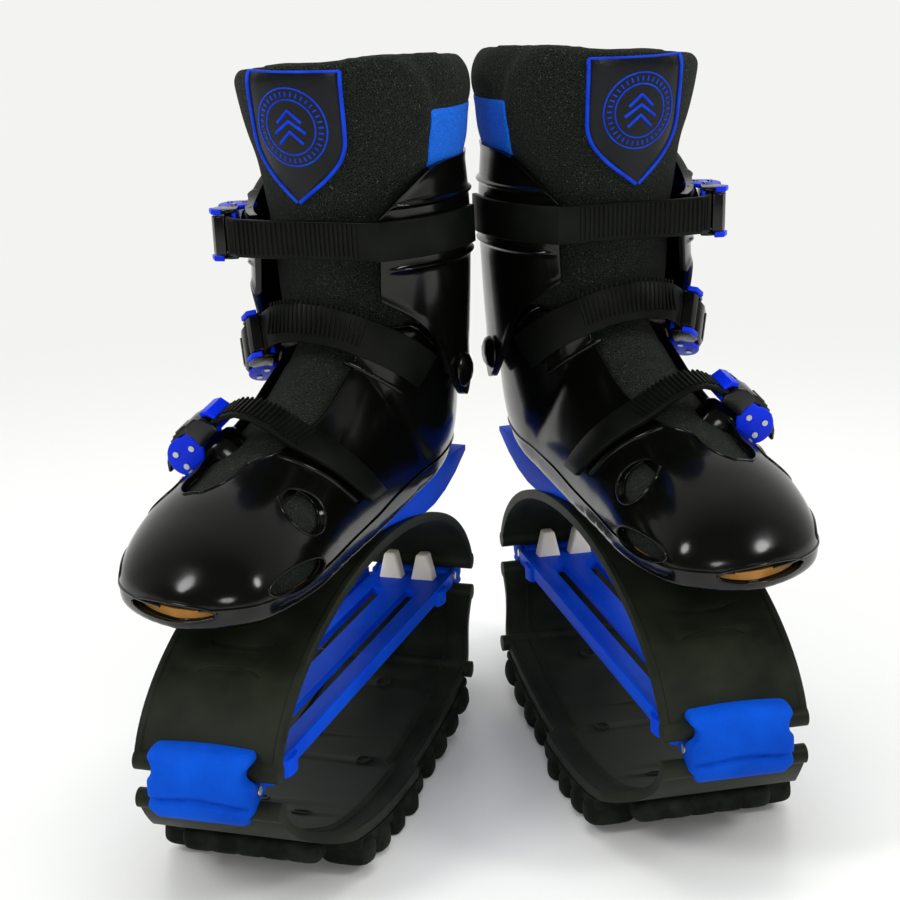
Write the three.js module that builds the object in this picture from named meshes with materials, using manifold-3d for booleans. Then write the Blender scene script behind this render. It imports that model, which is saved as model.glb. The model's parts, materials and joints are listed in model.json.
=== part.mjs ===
// A pair of jumping shoes: hard boots, each on two arched springs that a tension band holds together.
// Millimetres, z up. Each shoe is modelled with x towards the other shoe and y towards the heel.
import * as THREE from 'three';
import { mergeVertices } from 'three/addons/utils/BufferGeometryUtils.js';
import Module from 'manifold-3d';

const wasm = await Module();
wasm.setup();

// Gaps between pieces, and the overrun of every cutting body past what it cuts
const clearance = 0.35;
const runningGap = 0.5;
const overrun = 6;
const weldTolerance = 0.0005;
const finestEdge = 0.1;

// Where the two shoes stand: half the distance between them, how far the left one is set back,
// and how far each toe is turned out, in degrees
const halfSpacing = 88.3;
const leftSetBack = 34.9;
const rightToeOut = 17.53;
const leftToeOut = 12.32;
const bootToeOut = 6.2;
const bootTurnY = 60;
const bootShift = 3;

// The two arches and the hinge plane between them
const archHalfLength = 165;
const archHalfWidth = 38;
const archWall = 4.5;
const hingeHeight = 73;
const upperArchRise = 76;
const lowerArchDrop = 61;
const lowerArchSkew = 16;
const beadRise = 11;
const beadRadius = 5;
const rimWidth = 3;
const rimHeight = 0.9;
const archStations = 20;
const roundSides = 10;

// The lower arch widens towards the tread and carries two ribs inside
const rearTreadHalfWidth = 49;
const frontTreadHalfWidth = 54;
const treadRearY = 104;
const treadFrontY = -102;
const ribInset = 13;
const ribWidth = 3;
const ribHeight = 2.4;
const stepBarRadius = 3;
const stepBossRadius = 5;

// The rubber tread: lugs across the sole, cut flat where they meet the ground
const treadBase = 6.5;
const treadDepth = 15.5;
const treadOverhang = 3;
const lugPitch = 27;
const frontBlockLength = 15;
const frontBlockHeight = 13;
const frontBlockInnerReach = 50;
const frontBlockOuterReach = 38;

// The caps that clip over the beads at both ends
const capHalfWidth = 27;
const capBottom = 58;
const capTop = 95;
const capReach = 15;
const capCorner = 9;
const capEdge = 1.6;
const capTongue = 7;
const capTongueHeight = 9;
const pinRadius = 2.7;
const eyeRadius = 4.8;

// The tension band: three bars between two plates
const bandHalfWidth = 29;
const bandEndHalfWidth = 23;
const bandThickness = 4.6;
const bandRearPlateY = 122;
const bandFrontPlateY = -112;
const bandShoulder = 12;
const barWidth = 14;
const flangeWidth = 2.4;
const flangeHeight = 3.6;
const bossLength = 16;
const bossHeight = 9;
const bossOut = 3;

// The cream lugs that stand in the band's rear plate
const lugOffset = 10.5;
const lugY = 147;
const lugWidth = 14.5;
const lugTopWidth = 7;
const lugDepth = 10;
const lugHeight = 16;

// The boot: a hard shell round the foot and ankle, in the boot's own frame
const bootLength = 300;
const toeY = -160;
const soleGap = 1.4;
const soleHeight = hingeHeight + upperArchRise + soleGap;
const heelLift = 18;
const footHalfWidth = 52;
const dorsumHeight = 110;
const welt = 11;
const shellWall = 4;
const footSides = 16;
const cavitySides = 12;

// The ankle shaft inside the cuff
const shaftBottom = 23.6;
const shaftTop = 111.6;
const shaftHalfWidth = 53.2;
const shaftFrontY = 14;
const shaftRearY = 128;
const heelBulge = 12;
const shaftCentreX = 2;
const sideLean = 5.5;
const sideLeanStart = 92;

// The cuff: part of an elliptical tube that leans forward, open at the front
const cuffHalfWidth = 58.6;
const cuffHalfDepth = 72;
const cuffCentreY = 66;
const cuffWall = 3.5;
const cuffLean = 0.1;
const cuffLeanStart = 99.6;
const cuffTop = 201.6;
const cuffWingTop = 174.6;
const cuffWingBottom = 130.6;
const cuffOuterNotch = 13;
const cuffBottom = 71.6;
const cuffWingAngle = 40;
const cuffRidgeHeight = 1.8;
const cuffRidgeWidth = 4;
const cuffStrapZ = 163.6;
const cuffStrapChannel = 30;
const ankleY = 72;
const ankleZ = 80.6;
const rivetRadius = 4;
const rivetHeadRadius = 10;
const rivetHeadHeight = 4;

// The inner boot
const linerTop = 253.6;
const linerRearTop = 251.6;
const linerHalfWidth = 57.5;
const linerFrontTopY = -13;
const linerRearTopY = 122;
const linerWall = 9;
const linerFootWall = 4;
const tongueSideY = 38;
const tongueSideZ = 81.6;
const tongueToeY = -82;
const tongueToeZ = 45.6;
const throatHalfWidth = 25;
const insoleThickness = 3;

// The badge on the tongue
const badgeWidth = 50;
const badgeHeight = 67;
const badgeThickness = 1.6;
const badgeTopZ = 248.6;

// Straps and ratchet buckles
const strapWidth = 21;
const strapThickness = 3;
const strapLift = 2.5;
const strapColumns = 16;
const strapRayCount = 80;
const frameLength = 34;
const frameWidth = 27.5;
const frameHeight = 17;
const frameWall = 2.4;
const frameSeat = 4.6;
const padLength = 31;
const padWidth = 24;
const shellPadRoot = 5;
const cuffPadRoot = 2.6;
const leverLength = 32;
const leverThickness = 3.4;
const leverPinRadius = 1.8;
const leverPinAlong = 5;
const leverPinHeight = 14.2;

// Toe strap: its middle height inside the foot, its turn from upright on each side, and its two ends
const toeStrapZ = 39.6;
const toeStrapOuterTurn = 55;
const toeStrapInnerTurn = 104;
const toeStrapOuterY = -50;
const toeStrapInnerY = -14;

// Instep strap: the point it turns round, its slope and its turn from the front on each side
const instepStrapY = 50;
const instepStrapZ = 81.6;
const instepStrapSlope = 42;
const instepStrapOuterTurn = 56;
const instepStrapInnerTurn = 84;

// Cuff strap: its turn from the front on each side
const cuffStrapOuterTurn = 54;
const cuffStrapInnerTurn = 104;

// Bolts that hold the boot on the upper arch
const boltRadius = 3.5;
const boltHeadRadius = 8;
const boltHeadHeight = 2.4;
const nutRadius = 8;
const nutHeight = 5;
const frontBoltY = -28;
const rearBoltY = 48;

const finishes = {
  archPlastic: new THREE.MeshStandardMaterial({ color: 0x1d1f1e, roughness: 0.55, metalness: 0 }),
  treadRubber: new THREE.MeshStandardMaterial({ color: 0x121312, roughness: 0.8, metalness: 0 }),
  blueClip: new THREE.MeshStandardMaterial({ color: 0x1450d8, roughness: 0.5, metalness: 0 }),
  blueBand: new THREE.MeshStandardMaterial({ color: 0x1546c4, roughness: 0.45, metalness: 0 }),
  creamRubber: new THREE.MeshStandardMaterial({ color: 0xe6dac8, roughness: 0.6, metalness: 0 }),
  blackShell: new THREE.MeshStandardMaterial({ color: 0x0c0d0d, roughness: 0.15, metalness: 0 }),
  blackMesh: new THREE.MeshStandardMaterial({ color: 0x0b0c0b, roughness: 0.95, metalness: 0 }),
  badgeLeather: new THREE.MeshStandardMaterial({ color: 0x1b211f, roughness: 0.45, metalness: 0 }),
  tanInsole: new THREE.MeshStandardMaterial({ color: 0xb9854e, roughness: 0.8, metalness: 0 }),
  strapPlastic: new THREE.MeshStandardMaterial({ color: 0x171917, roughness: 0.5, metalness: 0 }),
  leverPlastic: new THREE.MeshStandardMaterial({ color: 0x0a0a0b, roughness: 0.25, metalness: 0 }),
  steel: new THREE.MeshStandardMaterial({ color: 0x9a9ca0, roughness: 0.3, metalness: 1 }),
};

// Turns drawings so that they extrude across the shoe: drawn x runs along y, drawn y runs up
const acrossShoe = new THREE.Matrix4().makeBasis(
  new THREE.Vector3(0, 1, 0), new THREE.Vector3(0, 0, 1), new THREE.Vector3(1, 0, 0));

/** Solid for joining and cutting, from a closed geometry. */
function toSolid(geometry) {
  const bare = geometry.clone();
  bare.deleteAttribute('normal');
  bare.deleteAttribute('uv');
  const merged = mergeVertices(bare, weldTolerance);
  const vertProperties = new Float32Array(merged.attributes.position.array);
  const triVerts = new Uint32Array(merged.index.array);
  return new wasm.Manifold(new wasm.Mesh({ numProp: 3, vertProperties, triVerts }));
}

/** Geometry from a solid, without edges too short to keep. */
function toGeometry(solid) {
  const mesh = solid.simplify(finestEdge).getMesh();
  const geometry = new THREE.BufferGeometry();
  geometry.setAttribute('position', new THREE.BufferAttribute(new Float32Array(mesh.vertProperties), 3));
  geometry.setIndex(new THREE.BufferAttribute(new Uint32Array(mesh.triVerts), 1));
  geometry.computeVertexNormals();
  return geometry;
}

function cut(geometry, ...cutters) {
  return toGeometry(cutters.reduce((solid, cutter) => solid.subtract(toSolid(cutter)), toSolid(geometry)));
}

function join(geometry, ...others) {
  return toGeometry(others.reduce((solid, other) => solid.add(toSolid(other)), toSolid(geometry)));
}

function overlap(geometry, other) {
  return toGeometry(toSolid(geometry).intersect(toSolid(other)));
}

/** Indexed geometry whose faces point out, whichever way its triangles were listed. */
function closedBody(points, triangles) {
  let volume = 0;
  for (const [a, b, c] of triangles) {
    volume += points[a].dot(new THREE.Vector3().crossVectors(points[b], points[c]));
  }
  const facing = volume > 0 ? triangles : triangles.map(([a, b, c]) => [a, c, b]);
  const geometry = new THREE.BufferGeometry().setFromPoints(points);
  geometry.setIndex(facing.flat());
  geometry.computeVertexNormals();
  return geometry;
}

/** Triangles that close a flat ring of points, in the ring's own order. */
function ringFace(ring) {
  const normal = new THREE.Vector3();
  const first = ring[0];
  for (let i = 1; i + 1 < ring.length; i++) {
    normal.add(new THREE.Vector3().crossVectors(
      ring[i].clone().sub(first), ring[i + 1].clone().sub(first)));
  }
  normal.normalize();
  const along = ring[1].clone().sub(first).normalize();
  const up = new THREE.Vector3().crossVectors(normal, along);
  const flat = ring.map((p) => new THREE.Vector2(p.dot(along), p.dot(up)));
  return THREE.ShapeUtils.triangulateShape(flat, []).map(([a, b, c]) => {
    const turn = flat[b].clone().sub(flat[a]).cross(flat[c].clone().sub(flat[a]));
    return turn > 0 ? [a, b, c] : [a, c, b];
  });
}

/** Body through rings of equally many points, with a flat face on the first and the last ring. */
function loft(rings) {
  const count = rings[0].length;
  const points = rings.flat();
  const triangles = [];
  for (let i = 0; i + 1 < rings.length; i++) {
    for (let j = 0; j < count; j++) {
      const a = i * count + j;
      const b = i * count + (j + 1) % count;
      triangles.push([a, b, b + count], [a, b + count, a + count]);
    }
  }
  const last = (rings.length - 1) * count;
  for (const [a, b, c] of ringFace(rings[0])) {
    triangles.push([a, c, b]);
  }
  for (const [a, b, c] of ringFace(rings[rings.length - 1])) {
    triangles.push([last + a, last + b, last + c]);
  }
  return closedBody(points, triangles);
}

/** Sheet with thickness: a grid of outer points, the same grid of inner points, and walls round the edge. */
function thickSheet(outer, inner) {
  const rows = outer.length;
  const columns = outer[0].length;
  const points = [...outer.flat(), ...inner.flat()];
  const under = rows * columns;
  const triangles = [];
  const at = (i, j) => i * columns + j;
  for (let i = 0; i + 1 < rows; i++) {
    for (let j = 0; j + 1 < columns; j++) {
      const [a, b, c, d] = [at(i, j), at(i, j + 1), at(i + 1, j + 1), at(i + 1, j)];
      triangles.push([a, b, c], [a, c, d]);
      triangles.push([under + a, under + c, under + b], [under + a, under + d, under + c]);
    }
  }
  const edge = [];
  for (let j = 0; j + 1 < columns; j++) {
    edge.push([at(0, j + 1), at(0, j)], [at(rows - 1, j), at(rows - 1, j + 1)]);
  }
  for (let i = 0; i + 1 < rows; i++) {
    edge.push([at(i, 0), at(i + 1, 0)], [at(i + 1, columns - 1), at(i, columns - 1)]);
  }
  for (const [a, b] of edge) {
    triangles.push([a, b, under + b], [a, under + b, under + a]);
  }
  return closedBody(points, triangles);
}

/** Cylinder that lies across the shoe, centred at the given y and z. */
function crossRod(radius, halfWidth, y, z, sides = roundSides) {
  const rod = new THREE.CylinderGeometry(radius, radius, 2 * halfWidth, sides);
  rod.rotateZ(Math.PI / 2);
  rod.translate(0, y, z);
  return rod;
}

/** Upright cylinder between two heights. */
function uprightRod(radius, x, y, low, high, sides = roundSides) {
  const rod = new THREE.CylinderGeometry(radius, radius, high - low, sides);
  rod.rotateX(Math.PI / 2);
  rod.translate(x, y, (low + high) / 2);
  return rod;
}

/** Box between two corners. */
function block(low, high) {
  const box = new THREE.BoxGeometry(high.x - low.x, high.y - low.y, high.z - low.z);
  box.translate((low.x + high.x) / 2, (low.y + high.y) / 2, (low.z + high.z) / 2);
  return box;
}

/** Side view drawing, in y and z, extruded across the shoe. */
function extrudeAcross(shape, halfWidth, edge = 0) {
  const geometry = new THREE.ExtrudeGeometry(shape, {
    depth: 2 * (halfWidth - edge), bevelEnabled: edge > 0, bevelThickness: edge, bevelSize: edge,
    bevelOffset: -edge, bevelSegments: 1, curveSegments: 4,
  });
  geometry.translate(0, 0, -(halfWidth - edge));
  geometry.applyMatrix4(acrossShoe);
  return geometry;
}

/** Value from a table of [share, value share] pairs, eased between neighbours. */
function fromShares(shares, share) {
  const last = shares.length - 1;
  const at = Math.min(Math.max(share, shares[0][0]), shares[last][0]);
  let i = 0;
  while (i < last - 1 && at > shares[i + 1][0]) {
    i += 1;
  }
  const [x0, y0] = shares[Math.max(i - 1, 0)];
  const [x1, y1] = shares[i];
  const [x2, y2] = shares[i + 1];
  const [x3, y3] = shares[Math.min(i + 2, last)];
  const span = x2 - x1;
  const slope1 = i === 0 ? (y2 - y1) / span : (y2 - y0) / (x2 - x0);
  const slope2 = i === last - 1 ? (y2 - y1) / span : (y3 - y1) / (x3 - x1);
  const t = (at - x1) / span;
  const bend = y1 * (2 * t ** 3 - 3 * t ** 2 + 1) + y2 * (3 * t ** 2 - 2 * t ** 3);
  return bend + span * (slope1 * (t ** 3 - 2 * t ** 2 + t) + slope2 * (t ** 3 - t ** 2));
}

// Arches

/** Point on the upper arch's outer face, moved out along the face's normal. */
function upperArchAt(angle, out) {
  const normal = new THREE.Vector2(Math.cos(angle) / archHalfLength, Math.sin(angle) / upperArchRise);
  normal.normalize();
  const y = archHalfLength * Math.cos(angle) + normal.x * out;
  return new THREE.Vector2(y, hingeHeight + upperArchRise * Math.sin(angle) + normal.y * out);
}

/** Point on the lower arch's outer face, moved out along the face's normal. */
function lowerArchAt(angle, out) {
  const [s, c] = [Math.sin(angle), Math.cos(angle)];
  const normal = new THREE.Vector2(lowerArchDrop * c, -archHalfLength * s - 2 * lowerArchSkew * s * c);
  normal.normalize();
  const y = archHalfLength * c - lowerArchSkew * s * s + normal.x * out;
  return new THREE.Vector2(y, hingeHeight - lowerArchDrop * s + normal.y * out);
}

const upperArchEnd = Math.asin(beadRise / upperArchRise);
const lowerArchEnd = Math.asin(beadRise / lowerArchDrop);
const upperBead = upperArchAt(upperArchEnd, -archWall / 2);
const lowerBead = lowerArchAt(lowerArchEnd, -archWall / 2);
const hingeY = (upperBead.x + lowerBead.x) / 2;

/** Half-width of the lower arch: as wide as the hinge at its ends and as the tread below. */
function lowerArchHalfWidth(y) {
  const treadHalfWidth = y > 0 ? rearTreadHalfWidth : frontTreadHalfWidth;
  const treadEnd = y > 0 ? treadRearY : -treadFrontY;
  const share = (hingeY - Math.abs(y)) / (hingeY - treadEnd);
  const eased = THREE.MathUtils.smoothstep(share, 0, 1);
  return archHalfWidth + (treadHalfWidth - archHalfWidth) * eased;
}

/** Upper arch's body, with every face moved out by the given growth. */
function upperArchBlank(growth) {
  const rings = [];
  for (let i = 0; i <= archStations; i++) {
    const angle = upperArchEnd + (Math.PI - 2 * upperArchEnd) * i / archStations;
    const half = archHalfWidth + growth;
    const groove = archHalfWidth - rimWidth - growth;
    const section = [
      [-half, -archWall - growth], [half, -archWall - growth], [half, rimHeight + growth],
      [groove, rimHeight + growth], [groove, growth], [-groove, growth], [-groove, rimHeight + growth],
      [-half, rimHeight + growth],
    ];
    rings.push(section.map(([x, out]) => {
      const point = upperArchAt(angle, out);
      return new THREE.Vector3(x, point.x, point.y);
    }));
  }
  const rods = [-1, 1].map((end) => crossRod(
    beadRadius + growth, archHalfWidth + growth, end * upperBead.x, upperBead.y));
  return join(loft(rings), ...rods);
}

/** Lower arch's body, with every face moved out by the given growth. */
function lowerArchBlank(growth) {
  const rings = [];
  for (let i = 0; i <= archStations; i++) {
    const angle = lowerArchEnd + (Math.PI - 2 * lowerArchEnd) * i / archStations;
    const half = lowerArchHalfWidth(lowerArchAt(angle, 0).x) + growth;
    const [inner, ribOut] = [-archWall - growth, half - ribInset];
    const ribTop = inner - ribHeight * Math.sin(angle);
    const section = [
      [-half, growth], [half, growth], [half, inner], [ribOut, inner], [ribOut - ribWidth / 4, ribTop],
      [ribOut - ribWidth, ribTop], [ribOut - ribWidth, inner], [ribWidth - ribOut, inner],
      [ribWidth - ribOut, ribTop], [ribWidth / 4 - ribOut, ribTop], [-ribOut, inner], [-half, inner],
    ];
    rings.push(section.map(([x, out]) => {
      const point = lowerArchAt(angle, out);
      return new THREE.Vector3(x, point.x, point.y);
    }));
  }
  const rods = [0, Math.PI].map((turn) => {
    const bead = lowerArchAt(turn + (turn > 0 ? -lowerArchEnd : lowerArchEnd), -archWall / 2);
    return crossRod(beadRadius + growth, archHalfWidth + growth, bead.x, bead.y);
  });
  return join(loft(rings), ...rods);
}

/** Angle on the lower arch where its outer face reaches the given y. */
function lowerArchAngle(y) {
  let [low, high] = [0, Math.PI];
  while (high - low > Math.PI / 10000) {
    const middle = (low + high) / 2;
    [low, high] = lowerArchAt(middle, 0).x > y ? [middle, high] : [low, middle];
  }
  return (low + high) / 2;
}

function lowerArch() {
  const stepAngle = lowerArchAngle(treadRearY + stepBossRadius);
  const step = lowerArchAt(stepAngle, -archWall);
  const stepHalfWidth = lowerArchHalfWidth(step.x);
  const bar = crossRod(stepBarRadius, stepHalfWidth, step.x, step.y);
  const bosses = [-1, 1].map((side) => {
    const boss = crossRod(stepBossRadius, stepBossRadius / 2, step.x, step.y - archWall / 2);
    boss.translate(side * stepHalfWidth, 0, 0);
    return boss;
  });
  return join(lowerArchBlank(0), bar, ...bosses);
}

/** Bolt places along the boot, given in the shoe's frame. */
function boltPlace(y) {
  const turn = THREE.MathUtils.degToRad(bootToeOut);
  const fromTurn = y - bootTurnY;
  return new THREE.Vector2(bootShift + Math.sin(turn) * fromTurn, bootTurnY + Math.cos(turn) * fromTurn);
}

function upperArch() {
  const holes = [frontBoltY, rearBoltY].map((y) => {
    const place = boltPlace(y);
    return uprightRod(boltRadius + clearance, place.x, place.y, hingeHeight + beadRise, soleHeight);
  });
  return cut(upperArchBlank(0), ...holes);
}

// Tread

/** Depth of the tread below the lower arch, as the lugs rise and fall along it. */
const lugDepthShares = [[0, 0], [0.1, 0.75], [0.3, 1], [0.7, 1], [0.9, 0.75]];

function tread() {
  const top = [];
  const bottom = [];
  const [start, end] = [lowerArchAngle(treadRearY), lowerArchAngle(treadFrontY)];
  let run = 0;
  const pieces = archStations * roundSides;
  const marks = [];
  let previous = lowerArchAt(start, 0);
  for (let i = 0; i <= pieces; i++) {
    const angle = start + (end - start) * i / pieces;
    const point = lowerArchAt(angle, 0);
    run += point.distanceTo(previous);
    previous = point;
    marks.push([run, angle]);
  }
  const lugCount = Math.round(run / lugPitch);
  const angleAt = (distance) => marks.find(([at]) => at >= distance)?.[1] ?? end;
  for (let lug = 0; lug < lugCount; lug++) {
    for (const [phaseShare, depthShare] of lugDepthShares) {
      const angle = angleAt(run * (lug + phaseShare) / lugCount);
      const depth = treadBase + (treadDepth - treadBase) * depthShare;
      const point = lowerArchAt(angle, depth);
      bottom.push(new THREE.Vector2(point.x, Math.max(point.y, 0)));
    }
  }
  const lastPoint = lowerArchAt(end, treadBase);
  bottom.push(lastPoint);
  for (let i = 0; i <= archStations / 2; i++) {
    top.push(lowerArchAt(end + (start - end) * i / (archStations / 2), clearance));
  }
  const outline = [...bottom, ...top];
  const body = extrudeAcross(new THREE.Shape(outline), 1);
  const position = body.attributes.position;
  for (let i = 0; i < position.count; i++) {
    const half = lowerArchHalfWidth(position.getY(i)) + treadOverhang;
    position.setX(i, position.getX(i) * half);
  }
  const front = lowerArchAt(end, clearance);
  const frontBlock = block(
    new THREE.Vector3(-frontBlockOuterReach, front.x - frontBlockLength, lastPoint.y - frontBlockHeight / 2),
    new THREE.Vector3(frontBlockInnerReach, front.x, lastPoint.y + frontBlockHeight / 2));
  return cut(join(body, frontBlock), lowerArchBlank(clearance));
}

// Hinge ends

/** Cap for the toe end (-1) or the heel end (1). */
function endCap(end) {
  const shape = new THREE.Shape();
  const outer = hingeY + capReach;
  shape.moveTo(hingeY, capBottom);
  shape.lineTo(outer - capCorner, capBottom);
  shape.quadraticCurveTo(outer, capBottom, outer, capBottom + capCorner);
  shape.lineTo(outer, capTop - capCorner);
  shape.quadraticCurveTo(outer, capTop, outer - capCorner, capTop);
  shape.lineTo(hingeY, capTop);
  const tongueSolid = block(
    new THREE.Vector3(-capHalfWidth, hingeY - capTongue, hingeHeight - capTongueHeight / 2),
    new THREE.Vector3(capHalfWidth, hingeY + capTongue, hingeHeight + capTongueHeight / 2));
  const eye = crossRod(eyeRadius + clearance, bandEndHalfWidth + clearance, hingeY, hingeHeight);
  const plateGap = block(
    new THREE.Vector3(-bandEndHalfWidth - clearance, hingeY - capTongue - overrun,
      hingeHeight - bandThickness / 2 - capTongueHeight),
    new THREE.Vector3(bandEndHalfWidth + clearance, hingeY,
      hingeHeight + bandThickness / 2 + capTongueHeight));
  const pinHole = crossRod(pinRadius + clearance / 2, capHalfWidth + overrun, hingeY, hingeHeight);
  const cap = cut(
    join(extrudeAcross(shape, capHalfWidth, capEdge), tongueSolid), eye, plateGap, pinHole);
  if (end < 0) {
    cap.rotateZ(Math.PI);
  }
  return cut(cap, upperArchBlank(clearance), lowerArchBlank(clearance));
}

function hingePin() {
  return crossRod(pinRadius, capHalfWidth, 0, 0);
}

function tensionBand() {
  const shoulderY = hingeY - bandShoulder;
  const outline = new THREE.Shape([
    new THREE.Vector2(bandHalfWidth, -shoulderY), new THREE.Vector2(bandHalfWidth, shoulderY),
    new THREE.Vector2(bandEndHalfWidth, shoulderY + bandShoulder / 3),
    new THREE.Vector2(bandEndHalfWidth, hingeY), new THREE.Vector2(-bandEndHalfWidth, hingeY),
    new THREE.Vector2(-bandEndHalfWidth, shoulderY + bandShoulder / 3),
    new THREE.Vector2(-bandHalfWidth, shoulderY), new THREE.Vector2(-bandHalfWidth, -shoulderY),
    new THREE.Vector2(-bandEndHalfWidth, -shoulderY - bandShoulder / 3),
    new THREE.Vector2(-bandEndHalfWidth, -hingeY), new THREE.Vector2(bandEndHalfWidth, -hingeY),
    new THREE.Vector2(bandEndHalfWidth, -shoulderY - bandShoulder / 3),
  ]);
  const holes = [];
  const [low, high] = [hingeHeight - bandThickness, hingeHeight + bandThickness];
  for (const side of [-1, 1]) {
    const [near, far] = [side * barWidth / 2, side * (bandHalfWidth - barWidth)];
    holes.push(block(
      new THREE.Vector3(Math.min(near, far), bandFrontPlateY, low),
      new THREE.Vector3(Math.max(near, far), bandRearPlateY, high)));
    const [halfX, halfY] = [lugWidth / 2 + clearance, lugDepth / 2 + clearance];
    holes.push(block(
      new THREE.Vector3(side * lugOffset - halfX, lugY - halfY, low),
      new THREE.Vector3(side * lugOffset + halfX, lugY + halfY, high)));
  }
  const plate = new THREE.ExtrudeGeometry(outline, { depth: bandThickness, bevelEnabled: false });
  plate.translate(0, 0, hingeHeight - bandThickness / 2);
  const extras = [];
  for (const side of [-1, 1]) {
    const [near, far] = [side * bandHalfWidth, side * (bandHalfWidth - flangeWidth)];
    extras.push(block(
      new THREE.Vector3(Math.min(near, far), -shoulderY, hingeHeight),
      new THREE.Vector3(Math.max(near, far), shoulderY, hingeHeight + bandThickness / 2 + flangeHeight)));
    for (const y of [bandRearPlateY, bandFrontPlateY - bossLength]) {
      const boss = uprightRod(1, 0, 0, -bossHeight / 2, bossHeight / 2);
      boss.scale(bossOut, bossLength / 2, 1);
      boss.translate(side * bandHalfWidth, y, hingeHeight);
      extras.push(boss);
    }
    const eye = crossRod(eyeRadius, bandEndHalfWidth, side * hingeY, hingeHeight);
    extras.push(eye);
  }
  const bores = [-1, 1].map((end) => crossRod(
    pinRadius + clearance, bandHalfWidth + overrun, end * hingeY, hingeHeight));
  return cut(join(plate, ...extras), ...holes, ...bores);
}

function springLug() {
  const foot = hingeHeight - bandThickness / 2;
  const shape = new THREE.Shape([
    new THREE.Vector2(-lugWidth / 2, foot), new THREE.Vector2(lugWidth / 2, foot),
    new THREE.Vector2(lugWidth / 2, foot + bandThickness),
    new THREE.Vector2(lugTopWidth / 2, foot + bandThickness + lugHeight),
    new THREE.Vector2(-lugTopWidth / 2, foot + bandThickness + lugHeight),
    new THREE.Vector2(-lugWidth / 2, foot + bandThickness),
  ]);
  const lug = new THREE.ExtrudeGeometry(shape, { depth: lugDepth, bevelEnabled: false });
  lug.rotateX(Math.PI / 2);
  lug.translate(0, lugDepth / 2, 0);
  return lug;
}

// Boot: shares along its length from the toe, and what each is a share of
const halfWidthShares = [
  [0, 0.12], [0.015, 0.42], [0.05, 0.72], [0.1, 0.88], [0.18, 0.98], [0.27, 1], [0.4, 0.93], [0.55, 0.85],
  [0.7, 0.82], [0.83, 0.8], [0.92, 0.66], [0.975, 0.42], [1, 0.14],
];
const sideShiftShares = [[0, 0.2], [0.1, 0.08], [0.2, 0.02], [0.35, -0.03], [0.6, -0.02], [1, 0]];
const topShares = [
  [0, 0.16], [0.015, 0.22], [0.05, 0.32], [0.1, 0.41], [0.18, 0.5], [0.27, 0.56], [0.37, 0.65], [0.47, 0.76],
  [0.56, 0.92], [0.62, 1], [0.72, 0.86], [0.83, 0.6], [0.92, 0.45], [1, 0.32],
];
const soleLiftShares = [[0, 0.05], [0.1, 0], [0.5, 0.06], [0.6, 0.22], [0.78, 0.62], [0.88, 0.96], [1, 1]];
const footStationShares = [0, 0.025, 0.08, 0.16, 0.27, 0.38, 0.48, 0.57, 0.64, 0.78, 0.9, 0.975, 1];
const soleRoundShare = 0.42;

/** Size of the foot part at a share of its length: half-width, side shift, bottom, widest level and top. */
function footAt(share, inset) {
  const bottom = heelLift * fromShares(soleLiftShares, share);
  return {
    half: footHalfWidth * fromShares(halfWidthShares, share) - inset,
    shift: footHalfWidth * fromShares(sideShiftShares, share),
    bottom: bottom + inset,
    level: bottom + welt,
    top: dorsumHeight * fromShares(topShares, share) - inset,
  };
}

/** Foot part of the boot, with every face moved in by the inset. */
function footBody(inset, sides = footSides, stations = footStationShares) {
  const rings = stations.map((share) => {
    const size = footAt(share, 0);
    const half = Math.max(size.half - inset, size.half * halfWidthShares[0][1]);
    const y = toeY + inset + (bootLength - 2 * inset) * share;
    const ring = [];
    for (let i = 0; i < sides; i++) {
      const angle = 2 * Math.PI * (i + 1 / 2) / sides;
      const [c, s] = [Math.cos(angle), Math.sin(angle)];
      const above = s > 0;
      const reach = above ? Math.max(size.top - inset - size.level, welt / 4) : size.level - size.bottom - inset;
      const across = above ? c : Math.sign(c) * Math.abs(c) ** soleRoundShare;
      const rise = above ? s : -(Math.abs(s) ** soleRoundShare);
      ring.push(new THREE.Vector3(size.shift + half * across, y, size.level + reach * rise));
    }
    return ring;
  });
  return loft(rings);
}

const sideLeanShares = [[0, 0], [0.22, 0.55], [0.45, 1], [0.72, 0.75], [1, 0.3]];
const shaftLevelShares = [0, 0.15, 0.36, 0.64, 1];
const shaftWidthShares = [[0, 0.75], [0.15, 0.81], [0.36, 0.88], [0.64, 0.96], [1, 0.965]];
const shaftBulgeShares = [[0, 0.8], [0.12, 1], [0.3, 0.85], [0.5, 0.4], [0.7, 0.12], [1, 0]];

/** Front, rear and half-width of the ankle shaft at a share of its height. */
function shaftAt(share) {
  return {
    half: shaftHalfWidth * fromShares(shaftWidthShares, share),
    front: shaftFrontY,
    rear: shaftRearY + heelBulge * fromShares(shaftBulgeShares, share),
  };
}

/** How far the boot leans towards its inner side at a height. */
function sideLeanAt(z) {
  const share = (z - sideLeanStart) / (linerTop - sideLeanStart);
  return sideLean * fromShares(sideLeanShares, Math.min(Math.max(share, 0), 1));
}

/** Ring of the boot's leg part at a height. */
function ellipseRing(front, rear, half, z, sides) {
  const centreX = shaftCentreX + sideLeanAt(z);
  const ring = [];
  for (let i = 0; i < sides; i++) {
    const angle = 2 * Math.PI * (i + 1 / 2) / sides;
    ring.push(new THREE.Vector3(
      centreX + half * Math.cos(angle), (front + rear) / 2 + (rear - front) / 2 * Math.sin(angle), z));
  }
  return ring;
}

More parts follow.
